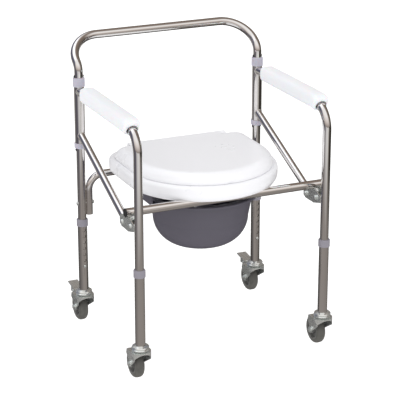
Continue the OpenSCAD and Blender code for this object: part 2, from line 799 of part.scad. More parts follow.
module lid() {
    inner_r = lid_r - lid_shoulder;
    corner_x = lid_r - lid_corner;
    side_end = lid_hinge_y - lid_corner;
    ear_room = lid_roll_r + ear_gap;
    ear_end = lid_roll_half + ear_w + ear_gap;
    pin_r = lid_pin_d / 2 + run_fit;
    color(white) difference() {
        union() {
            translate([0, seat_centre, 0]) rotate([0, 0, 180])
                rotate_extrude(angle = 180) translate([lid_r, 0]) lid_section();
            for (s = [-1, 1]) on_side(s) {
                translate([lid_r, side_end, 0]) rotate([90, 0, 0])
                    linear_extrude(side_end - seat_centre) lid_section();
                translate([corner_x, side_end, 0])
                    rotate_extrude(angle = 90) translate([lid_corner, 0]) lid_section();
                translate([lid_roll_half, lid_hinge_y, 0]) rotate([90, 0, 90])
                    linear_extrude(corner_x - lid_roll_half) lid_section();
            }
            translate([0, 0, lid_top - lid_wall]) linear_extrude(lid_wall) {
                round_front(inner_r);
                translate([-inner_r, seat_centre]) square([2 * inner_r, side_end - seat_centre]);
                translate([-corner_x, seat_centre])
                    square([2 * corner_x, lid_hinge_y - lid_shoulder - seat_centre]);
                translate([-lid_roll_half, seat_centre]) square([2 * lid_roll_half, lid_hinge_y - seat_centre]);
                for (s = [-1, 1]) translate([s * corner_x, side_end]) circle(r = lid_corner - lid_shoulder);
            }
            cross_bar(lid_roll_r, -lid_roll_half, lid_roll_half, lid_hinge_y, lid_axis_z);
        }
        for (s = [-1, 1]) on_side(s) {
            translate([lid_roll_half, lid_hinge_y - ear_room, lid_bottom - eps])
                cube([ear_end - lid_roll_half, 2 * ear_room, lid_h + 2 * eps]);
            cross_bar(pin_r, lid_roll_half - lid_pin_in - eps, ear_end, lid_hinge_y, lid_axis_z);
        }
        translate([0, seat_centre - lid_r - eps, lid_bottom])
            rotate([-90, 0, 0]) cylinder(r = notch_r, h = notch_depth);
    }
}

// Outline of the pail's section drawn in by w, up to a given top: a cone over a rounded foot
module pail_outline(w, top) {
    turn_x = pail_low_r - pail_turn;
    turn_z = pail_bottom + pail_turn;
    translate([turn_x, turn_z]) intersection() {
        circle(r = pail_turn - w);
        translate([0, -pail_turn]) square([pail_turn, pail_turn]);
    }
    polygon([
        [0, pail_bottom + w], [turn_x, pail_bottom + w], [turn_x, turn_z], [pail_low_r - w, turn_z],
        [pail_top_r - w, rim_height], [pail_top_r - w, top], [0, top]]);
}

// Round pail with a turned rim
module pail() {
    rim_in = pail_top_r - pail_wall;
    rim_top = rim_height + rim_t;
    color(pail_grey) translate([0, pail_y, 0]) rotate_extrude($fn = 96) {
        difference() {
            pail_outline(0, rim_top);
            pail_outline(pail_wall, rim_top + eps);
        }
        polygon([
            [rim_in, rim_height], [rim_r, rim_height], [rim_r, rim_top - rim_chamfer],
            [rim_r - rim_chamfer, rim_top], [rim_in, rim_top]]);
    }
}

module leg_tube(sx, sy) {
    color(chrome) at_leg(sx, sy) difference() {
        translate([0, 0, leg_bottom]) cylinder(r = lower_r, h = leg_top - leg_bottom);
        translate([0, 0, leg_bottom - eps]) cylinder(r = lower_bore_r, h = leg_top - leg_bottom + 2 * eps);
        for (i = [0 : hole_count - 1])
            translate([0, 0, button_height + i * hole_pitch]) rotate([90 * sy, 0, 0])
                cylinder(d = hole_d, h = lower_tube_d);
    }
}

// Plastic collar that steadies the inner tube in the lower leg's mouth
module leg_collar(sx, sy) {
    out = collar_d / 2;
    color(collar_grey) at_leg(sx, sy) translate([0, 0, leg_top]) rotate_extrude() polygon([
        [lower_r, -collar_drop], [out, -collar_drop], [out, collar_rise - bush_chamfer],
        [out - bush_chamfer, collar_rise], [lower_bore_r, collar_rise], [lower_bore_r, 0], [lower_r, 0]]);
}

// Domed lock button on the end of its leaf spring, inside the upper tube
module lock_button(sx, sy) {
    r = hole_d / 2 - slide_gap;
    neck = upper_r + button_out - button_dome;
    color(zinc) at_leg(sx, sy) translate([0, 0, button_height]) rotate([90 * sy, 0, 0]) {
        translate([0, 0, button_root]) cylinder(r = r, h = neck - button_root);
        translate([0, 0, neck]) dome(r, button_dome);
        translate([-leaf_w / 2, sy > 0 ? -r : r - leaf_len, button_root]) cube([leaf_w, leaf_len, leaf_t]);
    }
}

// Stem plug in the leg's lower end, upper race cap, king pin and its peened head
module castor_stem(sx, sy) {
    pin_r = king_pin_d / 2;
    head_top = crown_foot - slide_gap;
    head_foot = head_top - pin_head_h;
    cap_foot = race_top + slide_gap;
    cap_edge = (leg_bottom - cap_foot) / 3;
    plug_top = leg_bottom + plug_len;
    color(zinc) at_leg(sx, sy) rotate_extrude() polygon([
        [0, head_foot], [pin_r + pin_head, head_foot], [pin_r + pin_head, head_top], [pin_r, head_top],
        [pin_r, cap_foot], [race_r - cap_edge, cap_foot], [race_r, cap_foot + cap_edge],
        [race_r - cap_edge / 2, cap_foot + 2 * cap_edge], [lower_r, leg_bottom], [lower_bore_r, leg_bottom],
        [lower_bore_r, plug_top - plug_chamfer], [lower_bore_r - plug_chamfer, plug_top], [0, plug_top]]);
}

// Fork seen from the side, from its hood down to the axle
module fork_side() {
    polygon([
        [-hood_r, crown_height], [hood_r, crown_height], [trail + fork_end_r, wheel_r],
        [trail - fork_end_r, wheel_r], [-hood_r, crown_height - hood_rim]]);
    translate([trail, wheel_r]) circle(r = fork_end_r);
}

// Fork seen from the front, drawn in by w: upright at the axle and spread out to the hood
module fork_front(w, top) {
    low = fork_half + fork_t - w;
    high = hood_r - w;
    knee = wheel_r + fork_end_r;
    rim = crown_height - hood_rim;
    polygon([
        [-low, 0], [low, 0], [low, knee], [high, rim],
        [high, top], [-high, top], [-high, rim], [-low, knee]]);
}

// Room for the wheel seen from the front, arched under the crown
module fork_arch() {
    arch_r = hood_r - fork_t;
    arch_z = crown_foot - arch_r;
    intersection() {
        fork_front(fork_t, crown_foot);
        union() {
            translate([0, arch_z]) circle(r = arch_r);
            translate([-arch_r, 0]) square([2 * arch_r, arch_z]);
        }
    }
}

// Pressed shell of the fork: round in front, with two cheeks that run back to the axle
module fork_shell() {
    rear = trail + fork_end_r;
    run = rear + hood_r;
    difference() {
        intersection() {
            translate([-hood_r, 0, 0]) rotate([90, 0, 90]) linear_extrude(2 * hood_r) fork_side();
            translate([0, rear, 0]) rotate([90, 0, 0]) linear_extrude(run) fork_front(0, crown_height);
            linear_extrude(crown_height) {
                circle(r = hood_r);
                translate([-hood_r, 0]) square([2 * hood_r, rear]);
            }
        }
        translate([0, rear + eps, 0]) rotate([90, 0, 0]) linear_extrude(run + 2 * eps) fork_arch();
        translate([0, 0, wheel_r])
            cylinder(r = king_pin_d / 2 + pin_head + slide_gap, h = crown_foot - wheel_r);
        cross_bar(axle_r, -hood_r, hood_r, trail, wheel_r);
    }
}

// Ear on a fork's cheek that carries the pedal's pin
module pedal_lug() {
    difference() {
        union() {
            polygon([[0, crown_height], pedal_pin + [0, lug_r], pedal_pin, [hood_r, crown_height - wheel_r / 2]]);
            translate(pedal_pin) circle(r = lug_r);
        }
        translate(pedal_pin) circle(r = pedal_pin_d / 2 + run_fit);
    }
}

// Fork with the lower half of the ball race pressed up round the king pin; the rear pair carry pedals
module castor_fork(sx, sy) {
    pin_bore = king_pin_d / 2 + run_fit;
    race_step = (race_top - crown_height) / 3;
    color(zinc) at_leg(sx, sy) difference() {
        union() {
            fork_shell();
            rotate_extrude() polygon([
                [0, crown_foot], [race_in, crown_foot], [race_in, crown_height],
                [race_r, crown_height + race_step], [race_r, race_top - race_step],
                [race_r - race_step, race_top], [0, race_top]]);
            if (sy > 0) for (x = [-fork_half - fork_t, fork_half])
                translate([x, 0, 0]) rotate([90, 0, 90]) linear_extrude(fork_t) pedal_lug();
        }
        translate([0, 0, crown_foot - eps]) cylinder(r = pin_bore, h = race_top - crown_foot + 2 * eps);
    }
}

module axle_bolt(sx, sy) {
    grip = fork_half + fork_t;
    color(zinc) at_leg(sx, sy) bolt(axle_d, -grip, grip, trail, wheel_r, axle_d * 0.8);
}

// Wheel sections are drawn with the radius along x and the width along y, and turned about the axle
module on_axle(sx, sy) {
    at_leg(sx, sy) translate([0, trail, wheel_r]) rotate([0, 90, 0]) rotate_extrude($fn = 96) children();
}

module wheel_core(sx, sy) {
    bore = axle_r + run_fit;
    hub_half = fork_half - slide_gap;
    web_half = core_web / 2;
    core_r = core_d / 2;
    slope = core_rim / 2;
    side = [
        [bore, hub_half], [bore + core_hub, hub_half], [bore + core_hub + slope, web_half],
        [core_r - core_rim - slope, web_half], [core_r - core_rim, wheel_w / 2], [core_r, wheel_w / 2]];
    color(core_grey) on_axle(sx, sy)
        polygon(concat(side, [for (i = [len(side) - 1 : -1 : 0]) [side[i][0], -side[i][1]]]));
}

module tyre(sx, sy) {
    flat_w = wheel_w - 2 * tyre_round;
    round_r = wheel_r - tyre_round;
    color(tyre_grey) on_axle(sx, sy) difference() {
        union() {
            translate([0, -wheel_w / 2]) square([round_r, wheel_w]);
            translate([0, -flat_w / 2]) square([wheel_r, flat_w]);
            for (s = [-1, 1]) translate([round_r, s * flat_w / 2]) circle(r = tyre_round);
        }
        translate([0, -wheel_w / 2 - eps]) square([core_d / 2, wheel_w + 2 * eps]);
    }
}

// Foot pedal on a pin across the fork, with a shoe that comes down on the tyre
module brake_pedal(sx, sy) {
    half = fork_half - slide_gap;
    hub_r = pedal_pin_d / 2 + pedal_hub;
    pin_half = fork_half + fork_t + pedal_hub;
    shoe_rear = shoe_back + pedal_t;
    function tread(y, drop) = pedal_pin + [y, hub_r + y * pedal_rise / pedal_len - drop];
    color(zinc) at_leg(sx, sy) {
        translate([-half, 0, 0]) rotate([90, 0, 90]) linear_extrude(2 * half) {
            translate(pedal_pin) circle(r = hub_r);
            polygon([
                tread(0, 0), tread(pedal_len, 0), tread(pedal_len, pedal_t), tread(shoe_rear, pedal_t),
                pedal_pin + [shoe_rear, pedal_t / 2 - shoe_drop], pedal_pin + [shoe_back, -shoe_drop],
                pedal_pin + [2 * hub_r, -hub_r / 2], pedal_pin + [0, -hub_r]]);
        }
        cross_bar(pedal_pin_d / 2, -pin_half, pin_half, pedal_pin[0], pedal_pin[1]);
    }
}

rear_hoop();
seat_bow();
bow_bolts();
hinge_tube(-1);  // hinge_tube_left
hinge_tube(1);  // hinge_tube_right
upper_bushes();
lower_bushes();
hinge_pins();
arm_tube(-1);  // arm_tube_left
arm_tube(1);  // arm_tube_right
brace(-1);  // brace_left
brace(1);  // brace_right
bracket(-1);  // bracket_left
bracket(1);  // bracket_right
bracket_bolts();
arm_pad(-1);  // arm_pad_left
arm_pad(1);  // arm_pad_right
front_bar();
bar_caps();
seat();
seat_clips();
seat_screws();
pail_rails();
lid_hinge_pins();
lid();
pail();
leg_tube(-1, -1);  // leg_tube_fl
leg_tube(1, -1);  // leg_tube_fr
leg_tube(-1, 1);  // leg_tube_rl
leg_tube(1, 1);  // leg_tube_rr
leg_collar(-1, -1);  // leg_collar_fl
leg_collar(1, -1);  // leg_collar_fr
leg_collar(-1, 1);  // leg_collar_rl
leg_collar(1, 1);  // leg_collar_rr
lock_button(-1, -1);  // lock_button_fl
lock_button(1, -1);  // lock_button_fr
lock_button(-1, 1);  // lock_button_rl
lock_button(1, 1);  // lock_button_rr
castor_stem(-1, -1);  // castor_stem_fl
castor_stem(1, -1);  // castor_stem_fr
castor_stem(-1, 1);  // castor_stem_rl
castor_stem(1, 1);  // castor_stem_rr
castor_fork(-1, -1);  // castor_fork_fl
castor_fork(1, -1);  // castor_fork_fr
castor_fork(-1, 1);  // castor_fork_rl
castor_fork(1, 1);  // castor_fork_rr
axle_bolt(-1, -1);  // axle_bolt_fl
axle_bolt(1, -1);  // axle_bolt_fr
axle_bolt(-1, 1);  // axle_bolt_rl
axle_bolt(1, 1);  // axle_bolt_rr
wheel_core(-1, -1);  // wheel_core_fl
wheel_core(1, -1);  // wheel_core_fr
wheel_core(-1, 1);  // wheel_core_rl
wheel_core(1, 1);  // wheel_core_rr
tyre(-1, -1);  // tyre_fl
tyre(1, -1);  // tyre_fr
tyre(-1, 1);  // tyre_rl
tyre(1, 1);  // tyre_rr
brake_pedal(-1, 1);  // brake_pedal_rl
brake_pedal(1, 1);  // brake_pedal_rr
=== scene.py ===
"""Commode chair on castors: finishes, arm pads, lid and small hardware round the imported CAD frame."""

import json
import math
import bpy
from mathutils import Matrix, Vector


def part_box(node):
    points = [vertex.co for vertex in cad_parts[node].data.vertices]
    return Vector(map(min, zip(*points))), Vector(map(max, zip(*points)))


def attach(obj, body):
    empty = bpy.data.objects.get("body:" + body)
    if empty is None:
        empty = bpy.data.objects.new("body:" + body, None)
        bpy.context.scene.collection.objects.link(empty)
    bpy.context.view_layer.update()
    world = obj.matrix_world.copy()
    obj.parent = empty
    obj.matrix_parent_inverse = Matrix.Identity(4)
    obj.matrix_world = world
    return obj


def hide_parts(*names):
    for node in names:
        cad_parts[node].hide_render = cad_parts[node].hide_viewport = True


bl_info = {
    "name": "Commode Chair on Castors",
    "version": (1, 0, 0),
    "blender": (4, 5, 0),
    "location": "View3D > Sidebar > Chair",
    "description": "Dresses the packed commode chair with its finishes, arm pads, hardware and stage",
    "category": "Object",
}

import bmesh
import bpy
from mathutils import Vector

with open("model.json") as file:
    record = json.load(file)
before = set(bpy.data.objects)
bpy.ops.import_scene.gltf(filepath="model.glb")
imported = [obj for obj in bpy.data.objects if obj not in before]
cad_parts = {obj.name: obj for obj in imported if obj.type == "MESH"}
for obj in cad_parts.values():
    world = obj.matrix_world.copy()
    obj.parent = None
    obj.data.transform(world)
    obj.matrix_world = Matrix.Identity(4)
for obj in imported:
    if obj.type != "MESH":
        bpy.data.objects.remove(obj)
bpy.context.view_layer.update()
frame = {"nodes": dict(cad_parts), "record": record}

NODES = frame["nodes"]
RECORD = frame["record"]
SLOT_OF = {part["node"]: part["material_slot"] for part in RECORD["subparts"]}
BODY_OF = {node: body for body, nodes in RECORD["behaviour"]["bodies"].items() for node in nodes}
CORNERS = ("fl", "fr", "rl", "rr")
BRAKED_CORNERS = ("rl", "rr")
SIDES = ("left", "right")

FULL_TURN = 2 * math.pi
MERGE_DISTANCE = 1e-6
SHARP_ANGLE = math.radians(35.0)
WELD_STEPS = 72
FLOOR_HALF = 30.0

# Kinds of sockets on the node groups
FLOAT = "NodeSocketFloat"
COLOUR = "NodeSocketColor"
GEOMETRY = "NodeSocketGeometry"
MATERIAL = "NodeSocketMaterial"

# Bolts: the head's height and radius as shares of the diameter, and the axle's end past its nut
HEAD_HEIGHT = 0.6
BRACKET_HEAD = 0.82
BOW_HEAD = 0.85
AXLE_HEAD = 0.8
AXLE_END = 0.0005

# Arm pads: room round the tube, how square the section is, and steps of the skin
PAD_ROOM = 0.0004
PAD_SQUARENESS = 0.58
PAD_SIDES = 72
PAD_STATIONS = 40
PAD_EDGE_STEPS = 5

# Lid: steps of its outline and section, and the lap of the strips ahead of the ears
LID_FRONT_STEPS = 64
LID_SIDE_STEPS = 4
LID_CORNER_STEPS = 12
LID_EDGE_STEPS = 4
LID_SHOULDER_STEPS = 16
LID_ROLL_SIDES = 48
LID_LAP = 5e-5


def colour_property(name, description, default):
    """A colour that a user may change, as linear red, green and blue."""
    return bpy.props.FloatVectorProperty(
        name=name, description=description, subtype="COLOR", size=3, min=0.0, max=1.0, default=default)


def length_property(name, description, default):
    """A length in metres."""
    return bpy.props.FloatProperty(
        name=name, description=description, unit="LENGTH", min=0.0, default=default)


def angle_property(name, description, degrees):
    """An angle, given in degrees."""
    return bpy.props.FloatProperty(
        name=name, description=description, subtype="ANGLE", default=math.radians(degrees))


class ChairFinishes(bpy.types.PropertyGroup):
    """Colours of the chair's finishes."""

    chrome: colour_property("Chrome", "Plate on the frame tubes", (0.84, 0.82, 0.80))
    # Painted shade: the bore colour is near black so the leg tubes' insides and height holes look dark; the
    # steel there is also unplated.
    bore: colour_property("Bore", "Inside of the leg tubes", (0.035, 0.03, 0.028))
    zinc: colour_property("Zinc", "Plate on castors, brackets and fasteners", (0.90, 0.93, 0.91))
    seat_white: colour_property("Seat white", "Moulded seat and lid", (0.86, 0.86, 0.885))
    pad_white: colour_property("Pad white", "Moulded arm pads", (0.83, 0.84, 0.865))
    bush: colour_property("Bush", "Hinge bushes", (0.49, 0.475, 0.555))
    collar: colour_property("Collar", "Leg collars", (0.27, 0.255, 0.295))
    # The pail's own dark colour; on the rails under the seat it also stands in for the shade there.
    pail: colour_property("Pail", "Pail and its rails", (0.105, 0.098, 0.125))
    tyre: colour_property("Tyre", "Rubber of the tyres", (0.075, 0.075, 0.068))
    core: colour_property("Wheel core", "Plastic wheel centres", (0.12, 0.122, 0.12))
    black: colour_property("Black", "Caps, pins and clips", (0.022, 0.022, 0.024))
    dust: colour_property("Dust", "Dust picked up near the floor", (0.30, 0.28, 0.25))


class ChairSizes(bpy.types.PropertyGroup):
    """Sizes of what is modelled on the frame."""

    pad_width: length_property("Pad width", "Width of an arm pad", 0.044)
    pad_height: length_property("Pad height", "Height of an arm pad", 0.040)
    pad_edge: length_property("Pad edge", "Rounding at the ends of an arm pad", 0.007)
    pad_mouth: length_property("Pad mouth", "Radius of the open end round the tube", 0.0150)
    pad_recess: length_property("Pad recess", "Depth of the open end", 0.009)
    pad_angle: angle_property("Pad angle", "Angle through which a pad follows the arm's front bend", 24.0)
    arm_bend: length_property("Arm bend", "Radius of the arm's front bend", 0.060)
    washer: length_property("Washer", "Thickness of the bolts' washers", 0.0012)
    bead: length_property("Weld bead", "Radius of the weld beads on the hinge tubes", 0.0016)
    lid_edge: length_property("Lid edge", "Height of the lid's upright edge", 0.006)
    lid_shoulder: length_property("Lid shoulder", "Width of the lid's rounded shoulder", 0.028)
    lid_wall: length_property("Lid wall", "Thickness of the lid", 0.003)
    lid_corner: length_property("Lid corner", "Corner radius at the lid's rear", 0.040)
    lid_roll: length_property("Lid roll", "Length of the lid's rolled rear edge", 0.236)
    ear_width: length_property("Ear width", "Width cut out of the lid for a hinge ear", 0.024)
    ear_room: length_property("Ear room", "Length cut out for a hinge ear ahead of the lid's axis", 0.017)
    dent_radius: length_property("Dent radius", "Radius of the thumb dent in the lid's front edge", 0.010)
    dent_depth: length_property("Dent depth", "Depth of the thumb dent", 0.0022)
    moulded_edge: length_property("Moulded edge", "Rounding of the seat's and lid's edges", 0.0014)
    pressed_edge: length_property("Pressed edge", "Rounding of the edges of pressed steel", 0.0006)
    # Painted shade in a leg's height holes starts this far in from the tube's outside.
    bore_shade_inset: length_property("Plate skin", "Depth to which a leg's plate reaches into its holes", 0.0003)


class ChairStage(bpy.types.PropertyGroup):
    """Camera, light and floor."""

    azimuth: angle_property("Azimuth", "Camera's turn round the chair", -24.337)
    elevation: angle_property("Elevation", "Camera's height angle", 19.474)
    distance: length_property("Distance", "From the camera to its target", 4.3068)
    target: bpy.props.FloatVectorProperty(
        name="Target", description="Point that the camera looks at", subtype="TRANSLATION",
        default=(-0.0034, 0.0, 0.3818))
    lens: bpy.props.FloatProperty(
        name="Lens", description="Focal length", subtype="DISTANCE_CAMERA", default=149.0)
    floor_drop: length_property(
        "Floor drop", "Depth of the floor under the wheels, for a leg that is let out", 0.103)
    sun: bpy.props.FloatProperty(
        name="Front light", description="Strength of the soft front light", default=0.6)
    sky: bpy.props.FloatProperty(
        name="Sky", description="Strength of the light from all round", default=1.0)


def feed(tree, sockets, values):
    """Links each named socket to a value that is a socket itself, and sets it to any other value."""
    for name, value in values.items():
        if isinstance(value, bpy.types.NodeSocket):
            tree.links.new(value, sockets[name])
        else:
            sockets[name].default_value = value


def add_node(tree, kind, values=None, **attributes):
    """A new node, with its attributes set and its inputs fed."""
    node = tree.nodes.new(kind)
    for name, value in attributes.items():
        setattr(node, name, value)
    feed(tree, node.inputs, values or {})
    return node


def maths(tree, operation, *values):
    """One sum, as a socket."""
    return add_node(tree, "ShaderNodeMath", dict(enumerate(values)), operation=operation).outputs[0]


def vector_maths(tree, operation, *values):
    """One sum of vectors, as the node's outputs."""
    return add_node(tree, "ShaderNodeVectorMath", dict(enumerate(values)), operation=operation).outputs


def object_place(tree):
    """The Object coordinates, as a socket."""
    return add_node(tree, "ShaderNodeTexCoord").outputs["Object"]


def split(tree, vector):
    """The X, Y and Z of a vector, as sockets."""
    return add_node(tree, "ShaderNodeSeparateXYZ", {"Vector": vector}).outputs


def spread(tree, value, low, high, to_low=0.0, to_high=1.0):
    """A value moved from one range to another, as a socket."""
    ranges = {"Value": value, "From Min": low, "From Max": high, "To Min": to_low, "To Max": to_high}
    return add_node(tree, "ShaderNodeMapRange", ranges).outputs["Result"]


def mixed(tree, factor, first, second):
    """A mix of two colours, as a socket."""
    node = add_node(tree, "ShaderNodeMix", data_type="RGBA")
    feed(tree, {socket.identifier: socket for socket in node.inputs}, {
        "Factor_Float": factor, "A_Color": first, "B_Color": second})
    return next(socket for socket in node.outputs if socket.identifier == "Result_Color")


def noise(tree, place, scale, detail):
    """A noise value, as a socket."""
    values = {"Vector": place, "Scale": scale, "Detail": detail}
    return add_node(tree, "ShaderNodeTexNoise", values).outputs["Fac"]


def ramp(tree, factor, stops):
    """A colour ramp through (position, colour) stops, as a socket."""
    node = add_node(tree, "ShaderNodeValToRGB", {"Fac": factor})
    elements = node.color_ramp.elements
    while len(elements) < len(stops):
        elements.new(0.5)
    for element, (position, colour) in zip(elements, stops):
        element.position = position
        element.color = (*colour, 1.0)
    return node.outputs["Color"]


def mirrored_set(tree, plain, seen):
    """One shader for all rays but those off polished metal, which see the other."""
    ray = add_node(tree, "ShaderNodeLightPath").outputs["Is Glossy Ray"]
    values = {0: ray, 1: plain.outputs[0], 2: seen.outputs[0]}
    return add_node(tree, "ShaderNodeMixShader", values).outputs[0]


def new_tree(kind, name, inputs, outputs):
    """An empty node group with named sockets, and what it is given and results in."""
    tree = bpy.data.node_groups.new(name, kind)
    for in_out, sockets in (("INPUT", inputs), ("OUTPUT", outputs)):
        for label, socket_type in sockets.items():
            tree.interface.new_socket(label, in_out=in_out, socket_type=socket_type)
    return tree, tree.nodes.new("NodeGroupInput").outputs, tree.nodes.new("NodeGroupOutput").inputs


def shared_tree(name, build):
    """The node group of that name, built on first use."""
    return bpy.data.node_groups.get(name) or build()


def plating_group():
    """Plate with faint handling marks: a roughness that wanders, a fine height and broad patches."""
    tree, given, result = new_tree(
        "ShaderNodeTree", "Plating marks", {"Scale": FLOAT, "Smooth": FLOAT, "Worn": FLOAT},
        {"Roughness": FLOAT, "Height": FLOAT, "Patches": FLOAT})
    finer, worn_from, worn_to = 22.0, 0.42, 0.78
    place = object_place(tree)
    broad = noise(tree, place, given["Scale"], detail=5.0)
    fine = noise(tree, place, maths(tree, "MULTIPLY", given["Scale"], finer), detail=2.0)
    feed(tree, result, {
        "Roughness": spread(tree, broad, worn_from, worn_to, given["Smooth"], given["Worn"]),
        "Height": fine, "Patches": broad})
    return tree


def skin_group():
    """Moulded plastic: a colour that drifts a little, a wandering gloss and a fine skin."""
    tree, given, result = new_tree(
        "ShaderNodeTree", "Moulded skin",
        {"Colour": COLOUR, "Shade": COLOUR, "Patch scale": FLOAT, "Grain scale": FLOAT,
         "Glossy": FLOAT, "Dull": FLOAT},
        {"Colour": COLOUR, "Roughness": FLOAT, "Height": FLOAT})
    dull_from, dull_to = 0.3, 0.7
    place = object_place(tree)
    patch = noise(tree, place, given["Patch scale"], detail=4.0)
    feed(tree, result, {
        "Colour": mixed(tree, patch, given["Colour"], given["Shade"]),
        "Roughness": spread(tree, patch, dull_from, dull_to, given["Glossy"], given["Dull"]),
        "Height": noise(tree, place, given["Grain scale"], detail=2.0)})
    return tree


def dust_group():
    """Dust that thins out with height above the floor, broken up by noise."""
    tree, given, result = new_tree(
        "ShaderNodeTree", "Floor dust",
        {"Colour": COLOUR, "Dust": COLOUR, "Reach": FLOAT, "Amount": FLOAT}, {"Colour": COLOUR})
    clumps = 70.0
    place = object_place(tree)
    low = spread(tree, split(tree, place)["Z"], 0.0, given["Reach"], 1.0, 0.0)
    broken = maths(tree, "MULTIPLY", low, noise(tree, place, clumps, detail=6.0))
    mask = maths(tree, "MULTIPLY", broken, given["Amount"])
    feed(tree, result, {"Colour": mixed(tree, mask, given["Colour"], given["Dust"])})
    return tree


def new_material(name, values):
    """A material with one Principled shader, and that shader."""
    material = bpy.data.materials.new(name)
    material.use_nodes = True
    shader = material.node_tree.nodes["Principled BSDF"]
    feed(material.node_tree, shader.inputs, values)
    return material, shader


def place_group(tree, name, build, values):
    """The outputs of a shader group that is placed in a material with its own values."""
    return add_node(tree, "ShaderNodeGroup", values, node_tree=shared_tree(name, build)).outputs


def bumped(tree, height, strength, depth):
    """The normal of a surface with a height on it, as a socket."""
    values = {"Height": height, "Strength": strength, "Distance": depth}
    return add_node(tree, "ShaderNodeBump", values).outputs["Normal"]


def opaque(colour, share=1.0):
    """A colour darkened by share, with its alpha."""
    return (*(channel * share for channel in colour), 1.0)


def plated_metal(name, tint, metallic, scale, smooth, worn, stain):
    """Plate with handling marks and a faint stain that drifts over it."""
    material, shader = new_material(name, {"Metallic": metallic})
    tree = material.node_tree
    values = {"Scale": scale, "Smooth": smooth, "Worn": worn}
    marks = place_group(tree, "Plating marks", plating_group, values)
    feed(tree, shader.inputs, {
        "Base Color": mixed(tree, marks["Patches"], opaque(tint), opaque(tint, stain)),
        "Roughness": marks["Roughness"],
        "Normal": bumped(tree, marks["Height"], strength=0.04, depth=0.0001)})
    return material


def moulded_plastic(name, tint, shade, glossy, dull, grain, bump, patches=9.0, subsurface=0.0, dust=0.0):
    """Moulded plastic or rubber with a fine skin, and near the floor with dust on it."""
    material, shader = new_material(name, {"Subsurface Weight": subsurface, "Subsurface Scale": 0.004})
    tree = material.node_tree
    skin = place_group(tree, "Moulded skin", skin_group, {
        "Colour": opaque(tint), "Shade": opaque(tint, shade), "Patch scale": patches,
        "Grain scale": grain, "Glossy": glossy, "Dull": dull})
    colour = skin["Colour"]
    if dust:
        colour = place_group(tree, "Floor dust", dust_group, {
            "Colour": colour, "Dust": opaque(bpy.context.scene.chair_finishes.dust),
            "Reach": 0.09, "Amount": dust})["Colour"]
    feed(tree, shader.inputs, {
        "Base Color": colour, "Roughness": skin["Roughness"],
        "Normal": bumped(tree, skin["Height"], bump, depth=0.0004)})
    return material


CHROME = dict(metallic=1.0, scale=14.0, smooth=0.02, worn=0.07, stain=0.93)

# How the material of each of the record's slots is made: function, name, colour and values
FINISHES = {
    "chromed_tube": (plated_metal, "Chromed tube", "chrome", CHROME),
    "zinc_steel": (plated_metal, "Zinc plate", "zinc", dict(
        metallic=0.82, scale=60.0, smooth=0.14, worn=0.26, stain=0.80)),
    "bush_plastic": (moulded_plastic, "Bush plastic", "bush", dict(
        shade=0.92, glossy=0.32, dull=0.42, grain=1200.0, bump=0.06, subsurface=0.1)),
    "collar_plastic": (moulded_plastic, "Collar plastic", "collar", dict(
        shade=0.90, glossy=0.34, dull=0.46, grain=1200.0, bump=0.06)),
    "black_plastic": (moulded_plastic, "Black plastic", "black", dict(
        shade=0.80, glossy=0.38, dull=0.50, grain=1200.0, bump=0.08)),
    "pad_plastic": (moulded_plastic, "Pad skin", "pad_white", dict(
        shade=0.975, glossy=0.42, dull=0.55, grain=700.0, bump=0.10, subsurface=0.15)),
    "seat_plastic": (moulded_plastic, "White plastic", "seat_white", dict(
        shade=0.985, glossy=0.27, dull=0.32, grain=500.0, bump=0.03)),
    "pail_plastic": (moulded_plastic, "Pail plastic", "pail", dict(
        shade=0.88, glossy=0.36, dull=0.48, grain=800.0, bump=0.08)),
    "wheel_plastic": (moulded_plastic, "Wheel plastic", "core", dict(
        shade=0.75, glossy=0.38, dull=0.52, grain=1500.0, bump=0.15, patches=40.0, dust=0.35)),
    "tyre_rubber": (moulded_plastic, "Tyre rubber", "tyre", dict(
        shade=0.75, glossy=0.50, dull=0.68, grain=1500.0, bump=0.15, patches=40.0, dust=0.45)),
}
BUILT = {}


def finish(slot):
    """The material of one of the record's slots, built on first use."""
    if slot not in BUILT:
        build, name, tint, values = FINISHES[slot]
        BUILT[slot] = build(name, getattr(bpy.context.scene.chair_finishes, tint), **values)
    return BUILT[slot]


def plate_with_painted_bore_shade(axis, radius):
    """The tubes' plate for the four legs, with painted shade: near black in the height holes and the bore,
    where the steel is also unplated.
    """
    tints = bpy.context.scene.chair_finishes
    material = plated_metal("Bored tube", tints.chrome, **CHROME)
    tree = material.node_tree
    colour = tree.nodes["Principled BSDF"].inputs["Base Color"]
    plate = colour.links[0].from_socket
    # Painted shade mask: everything inside the tube's outer skin, which takes in the bore and the walls of
    # the height holes.
    folded = vector_maths(tree, "ABSOLUTE", object_place(tree))["Vector"]
    apart = vector_maths(tree, "SUBTRACT", folded, axis)["Vector"]
    level = vector_maths(tree, "MULTIPLY", apart, (1.0, 1.0, 0.0))["Vector"]
    bore_shade_mask = maths(tree, "LESS_THAN", vector_maths(tree, "LENGTH", level)["Value"], radius)
    tree.links.new(mixed(tree, bore_shade_mask, plate, opaque(tints.bore)), colour)
    return material


def dress(piece, slot):
    """Gives a piece the finish of one of the record's slots."""
    piece.data.materials.clear()
    piece.data.materials.append(finish(slot))


def dress_nodes(*starts):
    """Gives its finish to each CAD node whose name starts with one of the given words."""
    found = [node for node in NODES if node.startswith(starts)]
    if not found:
        raise RuntimeError(f"no CAD node starts with {starts}")
    for node in found:
        dress(NODES[node], SLOT_OF[node])


def add_object(name, data):
    """A new object in the scene."""
    made = bpy.data.objects.new(name, data)
    bpy.context.scene.collection.objects.link(made)
    return made


def applied(draft):
    """The plain mesh that a draft object's modifiers make of it; the draft goes."""
    graph = bpy.context.evaluated_depsgraph_get()
    mesh = bpy.data.meshes.new_from_object(draft.evaluated_get(graph), depsgraph=graph)
    draft.modifiers.clear()
    bpy.data.objects.remove(draft)
    return mesh


